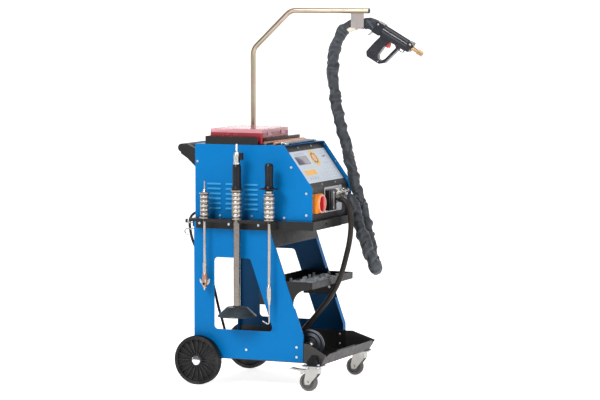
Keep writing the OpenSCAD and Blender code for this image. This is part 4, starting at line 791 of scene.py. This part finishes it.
def gun_details():
    shape = Shape()
    for side in (-1, 1):
        for a, b, y, r in ((18.3, 16.3, 20, 4.4), (178.3, 15.2, 20, 4.4), (89, -115.5, 13, 2.6)):
            shape.lathe([(0.4, 0), (r, 0), (r, 1.2), (r - 0.8, 2.0), (r * 0.5, 2.0), (r * 0.4, 1.1),
                         (0.4, 1.1)],
                        lambda u, v, h, a=a, b=b, y=y: on_gun(a + u, side * (y - 0.2 + h), b + v), 20, 0)
    # strain lever under the boot
    shape.loft([[on_gun(a0 + r * c, 5 * s_, b0 + r * 0.4 * c)
                 for c, s_ in (polar(1, 2 * math.pi * j / 14) for j in range(14))]
                for a0, b0, r in ((6, -23, 6), (4, -30, 5), (1, -37, 5), (-2, -44, 5.5), (-3, -47, 4))], 1)
    # collar and turned grooves of the brass neck
    shape.lathe([(5, 0), (10.6, 0), (11, 0.6), (11, 4.4), (10.4, 5.2), (5, 5.2)],
                lambda u, v, h: on_gun(186.2 + h, u, 4 + v), 36, 2)
    for a in (195, 199, 203, 207):
        shape.lathe([(5, 0), (8.0, 0.2), (8.7, 0.9), (8.7, 1.9), (8.0, 2.6), (5, 2.8)],
                    lambda u, v, h, a=a: on_gun(a + h, u, 4 + v), 36, 2)
    shape.build("gun_fittings", ["tinned", "steel_wire", "brass"], smooth=0.7)
    # the grip's moulded ribs
    ribs = Shape()
    for side in (-1, 1):
        for k in range(9):
            b = -54 - 6.2 * k
            a = 37 + (b + 62) * 0.2
            ribs.plate(rounded_box(0, 0, 30, 2.4, 1.1),
                       lambda u, v, h, a=a, b=b: on_gun(a + 17 + u, side * (12.9 + h), b + v), 0, 0.9, 0.4)
    ribs.build("grip_ribs", ["gun"])


gun_boot()
gun_details()


# ---- rear wheels: finely ribbed tread and deep radial ribs -------------------------------------------------
AXLE_X, AXLE_Z, WHEEL_OUT = -343, 100, 269


def rear_wheel(name, body, side):
    def place(u, v, h):
        return at(AXLE_X + u, side * (WHEEL_OUT - h), AXLE_Z + v)

    def tread(r, angle):
        if r < 99:
            return r
        return r - 2.3 * (math.sin(angle * 112 + 0.785) > 0)

    shape = Shape()
    profile = [(7.6, 0.3), (20, 0.3), (22, 1.2), (23.4, 3), (24, 7), (24, 14), (60, 15.2), (80, 15.6),
               (83, 14),
               (84.2, 4), (85.4, 2), (88.5, 1.1), (90.5, 2.0), (92, 1.2), (94.5, 0.8), (97.4, 2.2),
               (98.8, 3.2),
               (99.6, 5), (100, 7), (100, 18), (98.0, 18.6), (98.0, 19.4), (100, 20), (100, 31), (99.6, 33),
               (97.4, 35.8), (94.5, 37.2), (88, 37.6), (85, 36), (83, 25), (24, 23), (23.4, 35), (21, 37.6),
               (7.6, 37.6)]
    shape.lathe(profile, place, 448, 0, tread)
    for k in range(20):
        a = 2 * math.pi * k / 20
        c, s_ = polar(1, a)
        rings = []
        for r, low in ((22.6, 3.4), (30, 6.5), (55, 9.0), (76, 8.0), (84.6, 4.6)):
            rings.append([place(r * c - w * s_, r * s_ + w * c, h)
                          for w, h in ((-1.7, 16.4), (-1.0, low + 0.6), (-0.5, low), (0.5, low),
                                       (1.0, low + 0.6),
                                       (1.7, 16.4))])
        shape.loft(rings, 1)
    # painted highlight: the ribs take a lighter plastic than the rest of the wheel
    wheel = shape.build(name, ["wheel", "rib_highlight"], body, smooth=0.5)
    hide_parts(body)


rear_wheel("rear_wheel_near_tyre", "rear_wheel_near", -1)
rear_wheel("rear_wheel_far_tyre", "rear_wheel_far", 1)


# ---- hammers -----------------------------------------------------------------------------------------------
def hammer_details():
    thread = Shape()
    for z in range(503, 552, 5):
        # no prouder than the running clearance, so the shaft still slides up through its weight
        thread.lathe([(5, 0), (5.54, 0.4), (5.54, 2.4), (5, 2.8)],
                     lambda u, v, h, z=z: at(CLAW_X + u, HAMMER_Y + v, z + h), 40)
    # painted highlight: the thread rings take the lighter rib steel
    thread.build("claw_thread", ["rib"], "claw_puller")
    barbs = Shape()
    for z in (956, 963, 970, 977):
        barbs.lathe([(4, 0), (6.2, 0), (6.4, 0.6), (5.0, 5.4), (4, 5.4)],
                    lambda u, v, h, z=z: at(VACUUM_X + u, HAMMER_Y + v, z + h), 24)
    barbs.lathe([(12, 0), (14.4, 0.3), (14.8, 1), (14.8, 5), (14.4, 5.7), (12, 6)],
                lambda u, v, h: at(VACUUM_X + u, HAMMER_Y + v, 903 + h), 36)
    barbs.lathe([(8, 0), (10.8, 0), (10.8, 7), (8, 7)],
                lambda u, v, h: at(VACUUM_X + u, HAMMER_Y + v, 944 + h), 6)
    barbs.build("vacuum_valve_fittings", ["tinned"], "vacuum_puller")
    grip = Shape()
    for k in range(11):
        z = 822 + 7.4 * k
        r = 15.6 + 1.8 * k / 10
        grip.lathe([(r - 2, 0), (r + 0.2, 0.2), (r + 0.7, 1), (r + 0.7, 2.4), (r + 0.2, 3.2), (r - 2, 3.4)],
                   lambda u, v, h, z=z: at(HOOK_X + u, HAMMER_Y + v, z + h), 40)
    grip.build("hook_grip_rings", ["black_plastic"], "hook_puller")


hammer_details()


# ---- assortment case ---------------------------------------------------------------------------------------
def case_contents():
    """Studs, washers and rings sorted into the tub's compartments."""
    rng = random.Random(5)
    shape = Shape()
    for column in range(4):
        for row in range(2):
            x0, x1 = -318 + 58 * column, -264 + 58 * column
            y0, y1 = ((-176, -60), (-54, 80))[row]
            kind = (column + row) % 3
            for _ in range(26):
                x, y = rng.uniform(x0 + 9, min(x1, -92) - 9), rng.uniform(y0 + 9, y1 - 9)
                z, turn = ROOF + 4.2 + rng.uniform(0, 9), rng.uniform(0, math.pi)
                c, s_ = polar(1, turn)
                if kind == 0:
                    shape.lathe([(2.4, 0), (6.2, 0), (6.4, 0.7), (6.2, 1.4), (2.4, 1.4)],
                                lambda u, v, h: at(x + u, y + v, z + h + 0.12 * u), 14, 0)
                elif kind == 1:
                    shape.loft([[at(x + c * t - s_ * r * p, y + s_ * t + c * r * p, z + 2 + r * q)
                                 for p, q in (polar(1, 2 * math.pi * j / 8) for j in range(8))]
                                for t, r in ((-9, 2), (6, 2), (6, 3.6), (9, 3.4))], 1)
                else:
                    shape.lathe([(4.2, 0), (6.4, 0), (6.4, 2.2), (4.2, 2.2)],
                                lambda u, v, h: at(x + u, y + v * 1.25, z + h - 0.1 * v), 12, 2)
    shape.build("case_contents", ["tinned", "copper", "brass"])


def case_lid_details():
    """Raised frame on the clear lid."""
    shape = Shape()

    low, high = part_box("case_lid")
    middle = (low + high) / 2

    def place(u, v, h):
        return Vector((middle.x, middle.y, high.z)) + Vector((u, v, h - 0.4)) / 1000

    length = (high.y - low.y) * 1000 - 22
    outer = rounded_box(0, 0, 210, length, 10, 6)
    inner = rounded_box(0, 0, 198, length - 12, 7, 6)
    shape.loft([[place(u, v, h) for u, v in ring] for ring, h in
                ((outer, 0), (outer, 0.7), (inset(outer, 0.7), 1.3), (inset(inner, -0.7), 1.3), (inner, 0.7),
                 (inner, 0))], 0, loop=True)
    shape.build("case_lid_rim", ["clear_red"], "case_lid")


case_contents()
case_lid_details()


# ---- small sheet-metal details -----------------------------------------------------------------------------
def mast_details():
    """Closed end of the arm, the plate's weld beads and a collar on the roof."""
    shape = Shape()
    cap = [(0.2, -2), (10.2, -2), (10.9, -0.6), (10.9, 0.9), (9.6, 1.8), (0.2, 2.2)]
    shape.lathe(cap, lambda u, v, h: at(250 + h, 130 + u, 1514 + v), 28, 0)
    for x in np.arange(174, 226, 3.4):
        shape.loft([[at(x + t, 130 - 5.4 + r * c, 1503.4 + r * s_)
                     for c, s_ in (polar(1, math.pi * j / 4) for j in range(8))]
                    for t, r in ((-1.9, 0.8), (-0.9, 2.2), (0.9, 2.4), (1.9, 0.8))], 1)
    shape.lathe([(11, 0), (15.6, 0), (15.2, 2.6), (12.6, 4.4), (11, 4.8)],
                lambda u, v, h: at(-268 + u, 130 + v, ROOF + 46 + h), 32, 1)
    shape.build("mast_end_and_welds", ["black_plastic", "yellow_zinc"])


def edge_rivets():
    """Pale rivet heads inside the cover's proud edges."""
    shape = Shape()
    for side in (-1, 1):
        for up in (14, 100, 186):
            centre = on_slope(side * 203.4, up, 7.5)
            shape.dome(lambda u, v, h: centre + Vector((u, -side * h, v)) / 1000, 3.1, 1.8, 14)
    shape.build("edge_rivets", ["zinc"])


def tray_nuts():
    """Nuts of the lower tray's screws, on the inner faces of its walls."""
    shape = Shape()
    for side in (-1, 1):
        for x, z in ((83, 171), (83, 131), (-139, 149)):
            shape.plate(disc(0, 0, 6.4, 6), lambda u, v, h: at(x + u, side * (220.4 - h), z + v), 0, 3.6, 0.7)
    shape.build("tray_nuts", ["zinc"])


def tool_tips():
    """Bright ferrules on the ends of the dark bars lying on the roof."""
    shape = Shape()
    for x, y, r, half, turn in ((-12, -12, 5.5, 161, 2.6), (9, -16, 5, 165.5, 2)):
        c, s_ = polar(1, math.radians(turn))
        for end in (-1, 1):
            shape.lathe([(1, -24), (r + 0.15, -24), (r + 0.15, 0.4), (r * 0.7, 1.6), (1, 1.8)],
                        lambda u, v, h: at(x - s_ * end * (half + h) + c * u,
                                           y + c * end * (half + h) + s_ * u,
                                           ROOF + r + v + 0.16), 28)
    shape.build("tool_tips", ["zinc"])


def weight_rings():
    """Rounded ribs between the thin discs of the three weights, in a lighter steel as a painted highlight."""
    shape = Shape()
    for x, top, r, disc_r, count in WEIGHTS:
        pitch, out = (top - RAIL_TOP - 16) / (count + 1), disc_r - 0.6
        for k in range(count + 1):
            low = RAIL_TOP + 8 + k * pitch + 2.6
            high = low + pitch - 5.2
            shape.lathe([(r - 1, low), (r + 0.8, low), (out - 0.9, low + 1.6), (out, low + 4),
                         (out, high - 4),
                         (out - 0.9, high - 1.6), (r + 0.8, high), (r - 1, high)],
                        lambda u, v, h, x=x: at(x + u, HAMMER_Y + v, h), 44)
    shape.build("weight_rings", ["rib"], smooth=0.9)


def cradle_lip():
    """Pale plastic lip under the sleeve where it leaves the hanger."""
    path = [p for p in sleeve_path if 0.146 < (p - np.array(SHIFT))[0] < 0.188 and p[2] > 1.4][::2]
    rings = []
    for i, p in enumerate(path):
        along = Vector(path[min(i + 1, len(path) - 1)] - path[max(i - 1, 0)]).normalized()
        up = along.cross(Vector((0, -1, 0)))
        if up.z < 0:
            up = -up
        arc = [math.radians(205 + 130 * k / 16) for k in range(17)]
        rings.append([Vector(p) + (Vector((0, 1, 0)) * math.cos(a) + up * math.sin(a)) * r
                      for r, turn in ((0.0262, arc), (0.0286, arc[::-1])) for a in turn])
    shape = Shape()
    shape.loft(rings)
    shape.build("cradle_lip", ["cream"])


mast_details()
edge_rivets()
tray_nuts()
tool_tips()
weight_rings()
cradle_lip()

# ---- stage and light ----------------------------------------------------------------------------------
def backdrop():
    """Floor that curves up into a wall far behind."""
    profile = [(-45, 0), (9, 0)] + [(9 + 3 * math.sin(a), 3 - 3 * math.cos(a))
                                   for a in np.linspace(0.1, math.pi / 2, 12)] + [(12, 12)]
    direction = Vector((look.x, look.y, 0)).normalized()
    across = Vector((-direction.y, direction.x, 0))
    points = [direction * d + across * w + Vector((0, 0, h)) for w in (-45, 45) for d, h in profile]
    n = len(profile)
    obj = add_mesh("backdrop", points, [(i, i + 1, n + i + 1, n + i) for i in range(n - 1)], body=None)
    m = Nodes("backdrop_paper")
    m.set(Base_Color=(0.85, 0.85, 0.85, 1), Roughness=0.9, Specular_IOR_Level=0.1,
          Emission_Color=(1, 1, 1, 1), Emission_Strength=0.8, Normal=m.bump(m.noise(3), 0.02, 0.01))
    obj.data.materials.append(m.material)


def softbox(name, place, target, size, power, colour=(1, 1, 1)):
    light = bpy.data.lights.new(name, "AREA")
    light.shape = "RECTANGLE"
    light.size, light.size_y = size
    light.energy, light.color = power, colour
    obj = bpy.data.objects.new(name, light)
    scene.collection.objects.link(obj)
    obj.location = Vector(place)
    obj.rotation_mode = "QUATERNION"
    obj.rotation_quaternion = (Vector(target) - Vector(place)).to_track_quat("-Z", "Y")


backdrop()
world = bpy.data.worlds.new("studio")
world.use_nodes = True
world.node_tree.nodes["Background"].inputs["Color"].default_value = (1, 1, 1, 1)
world.node_tree.nodes["Background"].inputs["Strength"].default_value = 0.16
scene.world = world
softbox("key", (-1.2, -5.0, 4.6), (0, 0, 0.8), (2.4, 2.0), 290)
softbox("fill", (4.8, -1.6, 2.4), (0, 0, 0.8), (1.4, 2.6), 75)
softbox("top", (0.2, 0.4, 4.6), (0, 0, 0.6), (3.0, 3.0), 60)
scene.view_settings.view_transform = "Standard"
